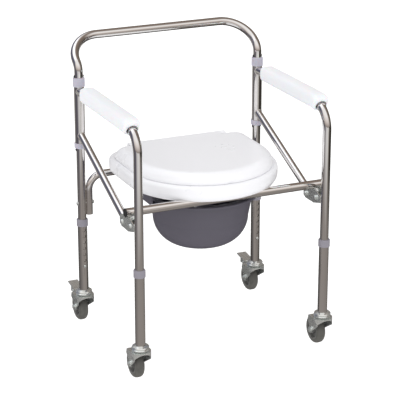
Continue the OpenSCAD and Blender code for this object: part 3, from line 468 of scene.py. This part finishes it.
def finish_piece(name, mesh, node, stands_for=True, sharp_angle=SHARP_ANGLE):
    """Links a mesh as a piece that rides with a CAD node, takes its finish and may stand for it."""
    if sharp_angle:
        mesh.shade_smooth()
        mesh.set_sharp_from_angle(angle=sharp_angle)
    piece = add_object(name, mesh)
    dress(piece, SLOT_OF[node])
    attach(piece, BODY_OF[node])
    if stands_for:
        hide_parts(node)
    return piece


def closed_mesh(name, verts, faces):
    """A mesh from points and faces, with its doubles merged and its faces turned outwards."""
    mesh = bpy.data.meshes.new(name)
    mesh.from_pydata(verts, [], faces)
    work = bmesh.new()
    work.from_mesh(mesh)
    bmesh.ops.remove_doubles(work, verts=work.verts, dist=MERGE_DISTANCE)
    bmesh.ops.recalc_face_normals(work, faces=work.faces)
    work.to_mesh(mesh)
    work.free()
    return mesh


def skin_faces(rows, count, closed_along=False, start=0):
    """Faces of a skin through rows of points of equal count, from the point at start."""
    faces = []
    for i in range(rows if closed_along else rows - 1):
        here, there = start + i * count, start + (i + 1) % rows * count
        for j in range(count):
            k = (j + 1) % count
            faces.append((here + j, here + k, there + k, there + j))
    return faces


def softened(node, name, width):
    """Puts a copy of a CAD node, with its sharp edges rounded, in the node's place."""
    mesh = NODES[node].data.copy()
    mesh.name = name
    if mesh.has_custom_normals:
        mesh.normals_split_custom_set([(0.0, 0.0, 0.0)] * len(mesh.loops))
    work = bmesh.new()
    work.from_mesh(mesh)
    bmesh.ops.remove_doubles(work, verts=work.verts, dist=MERGE_DISTANCE)
    bmesh.ops.dissolve_limit(work, angle_limit=math.radians(0.5), verts=work.verts, edges=work.edges)
    sharp = [edge for edge in work.edges
             if len(edge.link_faces) == 2 and edge.calc_face_angle() > SHARP_ANGLE]
    bmesh.ops.bevel(
        work, geom=sharp, offset=width, offset_type="OFFSET", segments=2, profile=0.5, affect="EDGES",
        clamp_overlap=True)
    work.to_mesh(mesh)
    work.free()
    mesh.shade_smooth()
    mesh.set_sharp_from_angle(angle=math.radians(45.0))
    draft = add_object(name, mesh)
    draft.modifiers.new("Flat faces stay flat", "WEIGHTED_NORMAL").keep_sharp = True
    finish_piece(name, applied(draft), node, sharp_angle=None)


def close_tree(tree, geometry, material, result):
    """Ends a Geometry Nodes tree: instances made real and the material set."""
    real = add_node(tree, "GeometryNodeRealizeInstances", {"Geometry": geometry}).outputs["Geometry"]
    dressed = add_node(tree, "GeometryNodeSetMaterial", {"Geometry": real, "Material": material})
    tree.links.new(dressed.outputs["Geometry"], result["Geometry"])


def grown_mesh(seed_mesh, tree, values):
    """The plain mesh that a Geometry Nodes tree makes from a seed mesh."""
    seed = add_object("seed", seed_mesh)
    modifier = seed.modifiers.new(tree.name, "NODES")
    modifier.node_group = tree
    for item in tree.interface.items_tree:
        if item.in_out == "INPUT" and item.name in values:
            modifier[item.identifier] = values[item.name]
    mesh = applied(seed)
    if not mesh.polygons:
        raise RuntimeError(f"{tree.name} made nothing")
    return mesh


def bead_tree():
    """A rippled weld bead along closed loops of edges."""
    tree, given, result = new_tree(
        "GeometryNodeTree", "Weld bead",
        {"Geometry": GEOMETRY, "Radius": FLOAT, "Ripples": "NodeSocketInt", "Depth": FLOAT,
         "Material": MATERIAL},
        {"Geometry": GEOMETRY})
    steps, sides = 6, 8
    path = add_node(tree, "GeometryNodeMeshToCurve", {"Mesh": given["Geometry"]}).outputs["Curve"]
    count = maths(tree, "MULTIPLY", given["Ripples"], float(steps))
    path = add_node(tree, "GeometryNodeResampleCurve", {"Curve": path, "Count": count}).outputs["Curve"]
    index = add_node(tree, "GeometryNodeInputIndex").outputs[0]
    wave = maths(tree, "SINE", maths(tree, "MULTIPLY", index, FULL_TURN / steps))
    swell = maths(tree, "MULTIPLY", wave, given["Depth"])
    profile = add_node(tree, "GeometryNodeCurvePrimitiveCircle", {
        "Resolution": sides, "Radius": given["Radius"]}).outputs["Curve"]
    bead = add_node(tree, "GeometryNodeCurveToMesh", {
        "Curve": path, "Profile Curve": profile, "Scale": maths(tree, "ADD", swell, 1.0)}).outputs["Mesh"]
    close_tree(tree, bead, given["Material"], result)
    return tree


def fastener_tree():
    """One fastener set at each point, its head turned along the point's aim."""
    tree, given, result = new_tree(
        "GeometryNodeTree", "Fasteners",
        {"Geometry": GEOMETRY, "Fastener": "NodeSocketObject", "Material": MATERIAL},
        {"Geometry": GEOMETRY})
    shape = add_node(tree, "GeometryNodeObjectInfo", {"Object": given["Fastener"]}).outputs["Geometry"]
    aim = add_node(tree, "GeometryNodeInputNamedAttribute", {"Name": "aim"}, data_type="FLOAT_VECTOR")
    turn = add_node(
        tree, "FunctionNodeAlignRotationToVector", {"Vector": aim.outputs["Attribute"]}, axis="Z")
    placed = add_node(tree, "GeometryNodeInstanceOnPoints", {
        "Points": given["Geometry"], "Instance": shape, "Rotation": turn.outputs["Rotation"]})
    close_tree(tree, placed.outputs["Instances"], given["Material"], result)
    return tree


def quarter(steps):
    """The angles of a quarter turn in even steps, with both ends."""
    return [math.pi / 2 * i / steps for i in range(steps + 1)]


def around(sides):
    """The cosine and sine of each step of a full turn."""
    return [(math.cos(FULL_TURN * i / sides), math.sin(FULL_TURN * i / sides)) for i in range(sides)]


def lathe(profile, sides, verts, faces):
    """Turns a profile of (radius, height) points about Z and adds it to the points and faces."""
    faces += skin_faces(len(profile), sides, start=len(verts))
    for radius, height in profile:
        verts += [(radius * c, radius * s, height) for c, s in around(sides)]


def bolt_shape(diameter, grip, head_r, head_h, washer):
    """A bolt through a grip: domed head and washer above, washer, hexagon nut and thread end below."""
    verts, faces = [], []
    round_sides, thread_sides, nut_sides, dome_steps = 32, 24, 6, 8
    thread = diameter / 2
    dome = [(head_r * math.cos(a), grip + washer + (head_h - washer) * math.sin(a))
            for a in quarter(dome_steps)]
    lathe([(0, grip), (thread, grip), (thread, grip + washer), *dome], round_sides, verts, faces)
    for foot in (grip, -washer):
        top = foot + washer
        lathe([(thread, foot), (head_r, foot), (head_r, top), (thread, top)], round_sides, verts, faces)
    nut_foot, nut_top = -head_h, -washer
    trim, nut_face = head_h / 8, head_r * 0.88
    lathe([
        (0, nut_foot), (nut_face, nut_foot), (head_r, nut_foot + trim), (head_r, nut_top - trim),
        (nut_face, nut_top), (0, nut_top)], nut_sides, verts, faces)
    end, end_r = nut_foot - thread / 8, thread * 0.8
    shank = [(0, end), (end_r, end), (thread, end + thread / 4), (thread, grip), (0, grip)]
    lathe(shank, thread_sides, verts, faces)
    return verts, faces


def set_bolts(name, node, diameter, grip, head_r, head_h, points):
    """Replaces a CAD node of bolts by detailed ones at (point, aim) places."""
    shape = bpy.data.objects.new("bolt", closed_mesh("bolt", *bolt_shape(
        diameter, grip, head_r, head_h, bpy.context.scene.chair_sizes.washer)))
    seeds = bpy.data.meshes.new("bolt_places")
    seeds.from_pydata([point for point, _ in points], [], [])
    aim = seeds.attributes.new("aim", "FLOAT_VECTOR", "POINT")
    for item, (_, direction) in zip(aim.data, points):
        item.vector = direction
    mesh = grown_mesh(seeds, shared_tree("Fasteners", fastener_tree), {
        "Fastener": shape, "Material": finish(SLOT_OF[node])})
    bpy.data.objects.remove(shape)
    finish_piece(name, mesh, node)


class CHAIR_OT_frame_tubes(bpy.types.Operator):
    """Plate the frame's tubes and lay the weld beads on the hinge tubes"""

    bl_idname = "chair.frame_tubes"
    bl_label = "Frame tubes"

    def execute(self, context):
        dress_nodes("rear_hoop", "seat_bow", "hinge_tube", "arm_tube", "brace", "front_bar")
        for side in SIDES:
            self.weld(side, context.scene.chair_sizes.bead)
        return {"FINISHED"}

    def weld(self, side, radius):
        """Beads where one side's arm and brace meet its hinge tube."""
        hinge_low, hinge_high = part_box(f"hinge_tube_{side}")
        arm_low, arm_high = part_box(f"arm_tube_{side}")
        brace_low, brace_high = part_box(f"brace_{side}")
        middle = (hinge_low + hinge_high) / 2
        hinge_r = (hinge_high.x - hinge_low.x) / 2
        arm_r = (arm_high.x - arm_low.x) / 2
        brace_r = (brace_high.x - brace_low.x) / 2
        slope = self.slope(brace_low, brace_high, brace_r)
        brace_top = brace_high.z - brace_r / math.cos(slope)
        verts, edges = [], []
        for level, tube_r, rise in ((arm_high.z - arm_r, arm_r, 0.0), (brace_top, brace_r, slope)):
            self.loop(verts, edges, middle, hinge_r, level, tube_r, rise)
        seed = bpy.data.meshes.new("weld_paths")
        seed.from_pydata(verts, edges, [])
        node = f"hinge_tube_{side}"
        mesh = grown_mesh(seed, shared_tree("Weld bead", bead_tree), {
            "Radius": radius, "Ripples": 30, "Depth": 0.16, "Material": finish(SLOT_OF[node])})
        sharp_angle = math.radians(60.0)
        finish_piece(f"weld_beads_{side}", mesh, node, stands_for=False, sharp_angle=sharp_angle)

    def slope(self, low, high, radius):
        """Angle of a brace above the level, found from its box in a few rounds."""
        rise, rounds = math.atan2(high.z - low.z, high.y - low.y), 8
        for _ in range(rounds):
            reach = high.y - low.y - radius * math.sin(rise)
            rise = math.atan2(high.z - low.z - 2 * radius * math.cos(rise), reach)
        return rise

    def loop(self, verts, edges, middle, hinge_r, level, tube_r, rise):
        """The closed line where a tube that comes from the front meets the hinge tube."""
        start = len(verts)
        for i, (c, s) in enumerate(around(WELD_STEPS)):
            x = tube_r * c
            depth = math.sqrt(hinge_r ** 2 - x ** 2)
            z = level + tube_r * s / math.cos(rise) - (depth - hinge_r) * math.tan(rise)
            verts.append((middle.x + x, middle.y - depth, z))
            edges.append((start + i, start + (i + 1) % WELD_STEPS))


class CHAIR_OT_hinge_bushes(bpy.types.Operator):
    """Finish the flanged bushes on the rear posts and their pins"""

    bl_idname = "chair.hinge_bushes"
    bl_label = "Hinge bushes"

    def execute(self, context):
        dress_nodes("upper_bushes", "lower_bushes", "hinge_pins")
        return {"FINISHED"}


class CHAIR_OT_brackets(bpy.types.Operator):
    """Round the edges of the folded brackets and finish the front bar's caps"""

    bl_idname = "chair.brackets"
    bl_label = "Brackets"

    def execute(self, context):
        dress_nodes("bar_caps")
        for side in SIDES:
            softened(f"bracket_{side}", f"folded_bracket_{side}", context.scene.chair_sizes.pressed_edge)
        return {"FINISHED"}


class CHAIR_OT_bolts(bpy.types.Operator):
    """Set detailed bolts, nuts and washers in the brackets, the bow and the axles"""

    bl_idname = "chair.bolts"
    bl_label = "Bolts"

    def execute(self, context):
        self.bracket_bolts()
        self.bow_bolts()
        for corner in CORNERS:
            self.axle_bolt(corner)
        return {"FINISHED"}

    def bracket_bolts(self):
        """Two bolts across each bracket, heads outwards."""
        low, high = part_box("bracket_bolts")
        bracket_low, bracket_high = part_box("bracket_right")
        head_h = high.x - bracket_high.x
        grip = bracket_high.x - bracket_low.x
        diameter = head_h / HEAD_HEIGHT
        head_r = diameter * BRACKET_HEAD
        points = []
        for side in (-1, 1):
            inner = side * bracket_low.x
            for y, z in ((low.y + head_r, high.z - head_r), (high.y - head_r, low.z + head_r)):
                points.append(((inner, y, z), (side, 0, 0)))
        set_bolts("bracket_bolt_set", "bracket_bolts", diameter, grip, head_r, head_h, points)

    def bow_bolts(self):
        """One bolt through each rear post and the bow's leg beside it."""
        low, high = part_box("bow_bolts")
        bow_low, bow_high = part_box("seat_bow")
        hoop_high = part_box("rear_hoop")[1]
        bow_d = bow_high.y - bow_low.y
        inner = bow_high.x - bow_d
        head_h = high.x - hoop_high.x
        diameter = head_h / HEAD_HEIGHT
        middle = (low + high) / 2
        points = [((side * inner, middle.y, middle.z), (side, 0, 0)) for side in (-1, 1)]
        set_bolts(
            "bow_bolt_set", "bow_bolts", diameter, hoop_high.x - inner, diameter * BOW_HEAD, head_h, points)

    def axle_bolt(self, corner):
        """The bolt that a wheel turns on."""
        node = f"axle_bolt_{corner}"
        low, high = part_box(node)
        head_r = (high.z - low.z) / 2
        diameter = head_r / AXLE_HEAD
        head_h = diameter * HEAD_HEIGHT
        middle = (low + high) / 2
        tail = high.x - low.x - 2 * head_h
        inner = low.x + head_h + AXLE_END
        set_bolts(
            f"axle_bolt_set_{corner}", node, diameter, tail - AXLE_END, head_r, head_h,
            [((inner, middle.y, middle.z), (1, 0, 0))])


class CHAIR_OT_arm_pads(bpy.types.Operator):
    """Model the moulded arm pads along the arms and their front bends"""

    bl_idname = "chair.arm_pads"
    bl_label = "Arm pads"

    def execute(self, context):
        for side in SIDES:
            self.build(side, context.scene.chair_sizes)
        return {"FINISHED"}

    def build(self, side, sizes):
        """One pad: an oval skin swept along the arm, hollow round the tube."""
        node = f"arm_pad_{side}"
        tube_low, tube_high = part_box(f"arm_tube_{side}")
        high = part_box(node)[1]
        radius = (tube_high.x - tube_low.x) / 2
        arm_z = tube_high.z - radius
        middle_x = (tube_low.x + tube_high.x) / 2
        bend_y = tube_low.y + radius + sizes.arm_bend
        lift = high.z - sizes.pad_height / 2 - arm_z
        straight = high.y - bend_y
        length = straight + sizes.arm_bend * sizes.pad_angle
        bore = radius + PAD_ROOM

        def station(along):
            """Point, and the direction square to the arm, at a distance from the pad's rear end."""
            if along <= straight:
                return Vector((middle_x, high.y - along, arm_z)), Vector((0, 0, 1))
            angle = (along - straight) / sizes.arm_bend
            out = Vector((0, -math.sin(angle), math.cos(angle)))
            return Vector((middle_x, bend_y, arm_z - sizes.arm_bend)) + out * sizes.arm_bend, out

        def oval(along, inset=0.0):
            """The pad's section drawn in by inset."""
            point, up = station(along)
            ring = []
            for c, s in around(PAD_SIDES):
                u = (sizes.pad_width / 2 - inset) * math.copysign(abs(c) ** PAD_SQUARENESS, c)
                v = lift + (sizes.pad_height / 2 - inset) * math.copysign(abs(s) ** PAD_SQUARENESS, s)
                ring.append(point + Vector((u, 0, 0)) + up * v)
            return ring

        def circle(along, r):
            """A circle round the tube."""
            point, up = station(along)
            return [point + Vector((r * c, 0, 0)) + up * r * s for c, s in around(PAD_SIDES)]

        edge = sizes.pad_edge
        steps = [edge * (1 - math.cos(a)) for a in quarter(PAD_EDGE_STEPS)]
        insets = [edge - math.sqrt(max(0.0, edge * edge - (edge - step) ** 2)) for step in steps]
        body = [edge + (length - 2 * edge) * i / PAD_STATIONS for i in range(1, PAD_STATIONS)]
        bottom = length - sizes.pad_recess
        rings = [circle(0.0, bore)]
        rings += [oval(step, inset) for step, inset in zip(steps, insets)]
        rings += [oval(along) for along in body]
        rings += [oval(length - step, inset) for step, inset in reversed(list(zip(steps, insets)))]
        rings += [circle(length, sizes.pad_mouth), circle(bottom, sizes.pad_mouth), circle(bottom, bore)]
        rings += [circle(along, bore) for along in reversed(body) if along < straight]
        points = [point for ring in rings for point in ring]
        faces = skin_faces(len(rings), PAD_SIDES, closed_along=True)
        mesh = closed_mesh(f"moulded_pad_{side}", points, faces)
        pad = finish_piece(f"moulded_pad_{side}", mesh, node, sharp_angle=math.radians(40.0))


class CHAIR_OT_seat(bpy.types.Operator):
    """Finish the seat and the saddles and screws that hold it"""

    bl_idname = "chair.seat"
    bl_label = "Seat"

    def execute(self, context):
        dress_nodes("seat")
        return {"FINISHED"}


class CHAIR_OT_lid(bpy.types.Operator):
    """Mould the lid with its soft shoulder, thumb dent and rolled rear edge, and finish its hinge pins"""

    bl_idname = "chair.lid"
    bl_label = "Lid"

    def execute(self, context):
        dress_nodes("lid_hinge_pins")
        sizes = context.scene.chair_sizes
        low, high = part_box("lid")
        pins_low, pins_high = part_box("lid_hinge_pins")
        axis = (pins_low + pins_high) / 2
        pairs = self.section(sizes, high.z - low.z)
        verts, faces = self.shell(sizes, pairs, low, high, axis.y)
        for side in (-1, 1):
            self.strip(sizes, pairs, low.z, axis.y, side, verts, faces)
        self.roll(sizes, axis, high.z - axis.z, verts, faces)
        finish_piece("lid_moulding", closed_mesh("lid_moulding", verts, faces), "lid")
        return {"FINISHED"}

    def section(self, sizes, height):
        """Pairs of outer and inner (inset, height) points, from the lower edge to where the lid is flat."""
        edge, wall, shoulder = sizes.moulded_edge, sizes.lid_wall, sizes.lid_shoulder
        rise = height - sizes.lid_edge
        radius = (shoulder ** 2 + rise ** 2) / (2 * rise)
        base = height - radius
        pairs = []
        for angle in quarter(LID_EDGE_STEPS):
            outer = (edge - edge * math.sin(angle), edge - edge * math.cos(angle))
            pairs.append((outer, (wall, outer[1])))
        for angle in quarter(LID_SHOULDER_STEPS):
            inset = shoulder * (1 - math.cos(angle))
            deep = wall + (shoulder - wall) * inset / shoulder
            pairs.append((
                (inset, base + math.sqrt(radius ** 2 - (shoulder - inset) ** 2)),
                (deep, base + math.sqrt((radius - wall) ** 2 - (shoulder - deep) ** 2))))
        flat = shoulder + wall / 2
        pairs.append(((flat, height), (flat, height - wall)))
        return pairs

    def outline(self, sizes, reach, centre_y, hinge_y, inset):
        """The lid's outline drawn in by inset, from one hinge ear round the front to the other."""
        r, corner = reach - inset, sizes.lid_corner - inset
        corner_x, side_end = reach - sizes.lid_corner, hinge_y - sizes.lid_corner
        # The front's points lie closer together at the thumb dent
        even, drawn_in = 0.3, 0.7
        shares = [i / LID_FRONT_STEPS for i in range(LID_FRONT_STEPS + 1)]
        front = [math.pi / 2 * (even * share + drawn_in * share ** 3) for share in shares]
        right = [(r * math.sin(a), centre_y - r * math.cos(a)) for a in front]
        right += [(r, centre_y + (side_end - centre_y) * i / LID_SIDE_STEPS)
                  for i in range(1, LID_SIDE_STEPS)]
        right += [(corner_x + corner * math.cos(a), side_end + corner * math.sin(a))
                  for a in quarter(LID_CORNER_STEPS)]
        right.append((sizes.lid_roll / 2 + sizes.ear_width, hinge_y - inset))
        return [(-x, y) for x, y in reversed(right[1:])] + right

    def shell(self, sizes, pairs, low, high, hinge_y):
        """Outer and inner skin of the lid, closed at the lower edge, beside the ears and behind."""
        reach = high.x
        centre_y = low.y + reach
        inner_count = len(pairs)
        loop = [inner for _, inner in reversed(pairs)] + [outer for outer, _ in pairs]
        verts, faces = [], []
        for index, (inset, height) in enumerate(loop):
            for x, y in self.outline(sizes, reach, centre_y, hinge_y, inset):
                dent = 0.0
                if index >= inner_count and y < centre_y:
                    away = math.hypot(x, height) / sizes.dent_radius
                    dent = sizes.dent_depth * max(0.0, 1 - away ** 2) ** 2
                verts.append((x, y + dent, low.z + height))
        count = len(verts) // len(loop)
        for i in range(len(loop) - 1):
            for j in range(count - 1):
                here, there = i * count + j, (i + 1) * count + j
                faces.append((here, here + 1, there + 1, there))
        for j in (0, count - 1):
            for k in range(inner_count - 1):
                outer, inner = (inner_count + k) * count + j, (inner_count - 1 - k) * count + j
                faces.append((outer, outer + count, inner - count, inner))
        self.plate(sizes, pairs[-1], low.z, hinge_y, count, len(loop), verts, faces)
        return verts, faces

    def plate(self, sizes, flat, floor_z, hinge_y, count, rows, verts, faces):
        """The lid's flat top, which reaches back between the ears to the rolled edge."""
        half = sizes.lid_roll / 2
        start = len(verts)
        under = list(range(count))
        top = list(range((rows - 1) * count, rows * count))
        for inset, height in flat:
            rear = ((half, hinge_y - inset), (half, hinge_y), (-half, hinge_y), (-half, hinge_y - inset))
            verts += [(x, y, floor_z + height) for x, y in rear]
        top += range(start, start + 4)
        under += range(start + 4, start + 8)
        faces += [tuple(top), tuple(under)]
        for i in range(count - 1, count + 4):
            k = (i + 1) % len(top)
            faces.append((top[i], top[k], under[k], under[i]))

    def strip(self, sizes, pairs, floor_z, hinge_y, side, verts, faces):
        """The part of the shoulder that is left ahead of a hinge ear."""
        kept = [pair for pair in pairs if pair[0][0] >= sizes.ear_room]
        ring = [outer for outer, _ in kept] + [inner for _, inner in reversed(kept)]
        start, count = len(verts), len(ring)
        for x in (sizes.lid_roll / 2 - LID_LAP, sizes.lid_roll / 2 + sizes.ear_width + LID_LAP):
            verts += [(side * x, hinge_y - inset, floor_z + height) for inset, height in ring]
        faces += skin_faces(2, count, start=start)
        faces += [tuple(range(start, start + count)), tuple(range(start + count, start + 2 * count))]

    def roll(self, sizes, axis, radius, verts, faces):
        """The rolled rear edge, a closed bar with rounded ends along the hinge's axis."""
        half, edge = sizes.lid_roll / 2, sizes.moulded_edge
        turned = []
        for side in (-1, 1):
            bow = [(radius - edge + edge * math.cos(a), side * (half - edge + edge * math.sin(a)))
                   for a in quarter(LID_EDGE_STEPS)]
            turned += [(0.0, -half), *reversed(bow)] if side < 0 else [*bow, (0.0, half)]
        start = len(verts)
        lathe(turned, LID_ROLL_SIDES, verts, faces)
        for i in range(start, len(verts)):
            x, y, z = verts[i]
            verts[i] = (z, axis.y + x, axis.z + y)


class CHAIR_OT_pail(bpy.types.Operator):
    """Finish the pail and its rails"""

    bl_idname = "chair.pail"
    bl_label = "Pail"

    def execute(self, context):
        dress_nodes("pail")
        return {"FINISHED"}


class CHAIR_OT_legs(bpy.types.Operator):
    """Plate the lower legs and finish their collars and lock buttons"""

    bl_idname = "chair.legs"
    bl_label = "Legs"

    def execute(self, context):
        dress_nodes("leg_tube", "leg_collar", "lock_button")
        # The leg tubes take plate with painted shade in their bores and height holes.
        low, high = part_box("leg_tube_rr")
        axis = ((low.x + high.x) / 2, (low.y + high.y) / 2, 0.0)
        shaded_bore_plate = plate_with_painted_bore_shade(axis, (high.x - low.x) / 2 - context.scene.chair_sizes.bore_shade_inset)
        for corner in CORNERS:
            NODES[f"leg_tube_{corner}"].data.materials[0] = shaded_bore_plate
        return {"FINISHED"}


class CHAIR_OT_castors(bpy.types.Operator):
    """Finish the castors, with the edges of their pressed forks and pedals rounded"""

    bl_idname = "chair.castors"
    bl_label = "Castors"

    def execute(self, context):
        dress_nodes("castor_stem", "wheel_core", "tyre")
        edge = context.scene.chair_sizes.pressed_edge
        for corner in CORNERS:
            softened(f"castor_fork_{corner}", f"pressed_fork_{corner}", edge)
        for corner in BRAKED_CORNERS:
            softened(f"brake_pedal_{corner}", f"pressed_pedal_{corner}", edge)
        return {"FINISHED"}


class CHAIR_OT_stage(bpy.types.Operator):
    """Set up the floor, the soft light and the camera"""

    bl_idname = "chair.stage"
    bl_label = "Stage"

    def execute(self, context):
        stage = context.scene.chair_stage
        self.floor(stage.floor_drop)
        self.sky(context.scene, stage.sky)
        self.front_light(stage.sun)
        self.camera(context.scene, stage)
        context.scene.view_settings.view_transform = "Standard"
        return {"FINISHED"}

    def floor(self, drop):
        """A wide pale floor below a leg that is let out; polished metal sees it in studio greys."""
        mesh = bpy.data.meshes.new("floor")
        signs = ((-1, -1), (1, -1), (1, 1), (-1, 1))
        mesh.from_pydata([(x * FLOOR_HALF, y * FLOOR_HALF, -drop) for x, y in signs], [], [(0, 1, 2, 3)])
        floor = add_object("floor", mesh)
        material, paper = new_material("Paper floor", {
            "Base Color": (0.92, 0.92, 0.92, 1.0), "Roughness": 0.9, "Specular IOR Level": 0.1,
            "Emission Color": (1.0, 1.0, 1.0, 1.0), "Emission Strength": 0.22})
        tree = material.node_tree
        place = object_place(tree)
        across = split(tree, place)
        share = spread(tree, maths(tree, "ARCTAN2", across["Y"], across["X"]), -math.pi, math.pi)
        reach = vector_maths(tree, "LENGTH", place)["Value"]
        near = ramp(tree, share, [
            (0.00, (0.20, 0.185, 0.18)), (0.10, (0.30, 0.275, 0.26)), (0.28, (0.29, 0.265, 0.25)),
            (0.42, (0.25, 0.23, 0.215)), (0.52, (0.10, 0.09, 0.085)), (0.68, (0.06, 0.055, 0.05)),
            (0.86, (0.08, 0.075, 0.075)), (1.00, (0.20, 0.185, 0.18))])
        far = ramp(tree, share, [
            (0.00, (0.10, 0.095, 0.12)), (0.05, (0.14, 0.13, 0.15)), (0.12, (0.62, 0.61, 0.62)),
            (0.25, (0.78, 0.77, 0.76)), (0.31, (0.42, 0.39, 0.36)), (0.36, (0.04, 0.034, 0.03)),
            (0.50, (0.03, 0.027, 0.025)), (0.57, (0.32, 0.30, 0.28)), (0.68, (0.30, 0.28, 0.26)),
            (0.80, (0.45, 0.44, 0.43)), (0.90, (0.14, 0.13, 0.13)), (1.00, (0.10, 0.095, 0.12))])
        near_end, far_start = 1.3, 2.2
        greys = mixed(tree, spread(tree, reach, near_end, far_start), near, far)
        mirror = add_node(tree, "ShaderNodeEmission", {"Color": greys, "Strength": 1.0})
        surface = tree.nodes["Material Output"].inputs["Surface"]
        tree.links.new(mirrored_set(tree, paper, mirror), surface)
        mesh.materials.append(material)

    def sky(self, scene, strength):
        """Even light all round; polished metal sees a pale front and a brown rear."""
        world = bpy.data.worlds.new("studio")
        world.use_nodes = True
        tree = world.node_tree
        tree.nodes.clear()
        along = split(tree, add_node(tree, "ShaderNodeTexCoord").outputs["Generated"])
        front = ramp(tree, along["Z"], [
            (0.0, (0.30, 0.26, 0.24)), (0.18, (0.55, 0.49, 0.46)), (0.40, (0.80, 0.74, 0.71)),
            (0.70, (1.0, 0.98, 0.97)), (1.0, (1.0, 1.0, 1.0))])
        rear_left = ramp(tree, along["Z"], [
            (0.0, (0.10, 0.10, 0.14)), (0.55, (0.13, 0.135, 0.19)), (0.70, (0.55, 0.56, 0.60)),
            (0.80, (1.5, 1.5, 1.55)), (1.0, (1.5, 1.5, 1.55))])
        rear_right = ramp(tree, along["Z"], [
            (0.0, (0.12, 0.105, 0.095)), (0.45, (0.17, 0.14, 0.12)), (0.85, (0.24, 0.19, 0.16)),
            (1.0, (0.30, 0.25, 0.22))])
        right_start, rear_swing, rear_blend = 0.3, 0.9, 0.2
        rear = mixed(tree, spread(tree, along["X"], 0.0, right_start), rear_left, rear_right)
        to_right = maths(tree, "MULTIPLY", maths(tree, "MAXIMUM", along["X"], 0.0), rear_swing)
        behind = spread(tree, maths(tree, "ADD", along["Y"], to_right), -rear_blend, rear_blend)
        seen_colour = mixed(tree, behind, front, rear)
        seen = add_node(tree, "ShaderNodeBackground", {"Color": seen_colour, "Strength": 1.0})
        even = add_node(tree, "ShaderNodeBackground", {"Color": (1.0, 1.0, 1.0, 1.0), "Strength": strength})
        output = tree.nodes.new("ShaderNodeOutputWorld")
        tree.links.new(mirrored_set(tree, even, seen), output.inputs["Surface"])
        scene.world = world

    def front_light(self, strength):
        """A wide soft light from above the camera, even over the whole floor."""
        data = bpy.data.lights.new("front_light", "SUN")
        data.energy = strength
        data.angle = math.radians(70.0)
        light = add_object("front_light", data)
        aim = Vector((0.25, 0.45, -0.86))
        light.rotation_euler = aim.to_track_quat("-Z", "Y").to_euler()
        light.visible_glossy = False

    def camera(self, scene, stage):
        """The photograph's viewpoint."""
        data = bpy.data.cameras.new("camera")
        data.sensor_width = 36.0
        data.lens = stage.lens
        camera = add_object("camera", data)
        turn, rise = stage.azimuth, stage.elevation
        back = Vector((
            math.sin(turn) * math.cos(rise), -math.cos(turn) * math.cos(rise), math.sin(rise)))
        camera.location = Vector(stage.target) + back * stage.distance
        camera.rotation_euler = (-back).to_track_quat("-Z", "Y").to_euler()
        scene.camera = camera


class CHAIR_PT_panel(bpy.types.Panel):
    """Lists the steps that dress the chair"""

    bl_idname = "CHAIR_PT_panel"
    bl_label = "Commode chair"
    bl_space_type = "VIEW_3D"
    bl_region_type = "UI"
    bl_category = "Chair"

    def draw(self, context):
        for operator in OPERATORS:
            self.layout.operator(operator.bl_idname)
        for setting in SETTINGS:
            group = getattr(context.scene, setting)
            box = self.layout.box()
            for name in group.bl_rna.properties.keys():
                if name not in {"rna_type", "name"}:
                    box.prop(group, name)


OPERATORS = (
    CHAIR_OT_frame_tubes, CHAIR_OT_hinge_bushes, CHAIR_OT_brackets, CHAIR_OT_bolts, CHAIR_OT_arm_pads,
    CHAIR_OT_seat, CHAIR_OT_lid, CHAIR_OT_pail, CHAIR_OT_legs, CHAIR_OT_castors, CHAIR_OT_stage)
SETTINGS = {"chair_finishes": ChairFinishes, "chair_sizes": ChairSizes, "chair_stage": ChairStage}
CLASSES = (*SETTINGS.values(), *OPERATORS, CHAIR_PT_panel)


def register():
    """Registers the classes and hangs the settings on the scene."""
    for item in CLASSES:
        bpy.utils.register_class(item)
    for name, group in SETTINGS.items():
        setattr(bpy.types.Scene, name, bpy.props.PointerProperty(type=group))


def unregister():
    """Takes all of it away again."""
    for name in SETTINGS:
        delattr(bpy.types.Scene, name)
    for item in reversed(CLASSES):
        bpy.utils.unregister_class(item)


def main():
    """Dresses the chair."""
    register()
    bpy.ops.chair.frame_tubes()
    bpy.ops.chair.hinge_bushes()
    bpy.ops.chair.brackets()
    bpy.ops.chair.bolts()
    bpy.ops.chair.arm_pads()
    bpy.ops.chair.seat()
    bpy.ops.chair.lid()
    bpy.ops.chair.pail()
    bpy.ops.chair.legs()
    bpy.ops.chair.castors()
    bpy.ops.chair.stage()


if __name__ == "__main__":
    main()
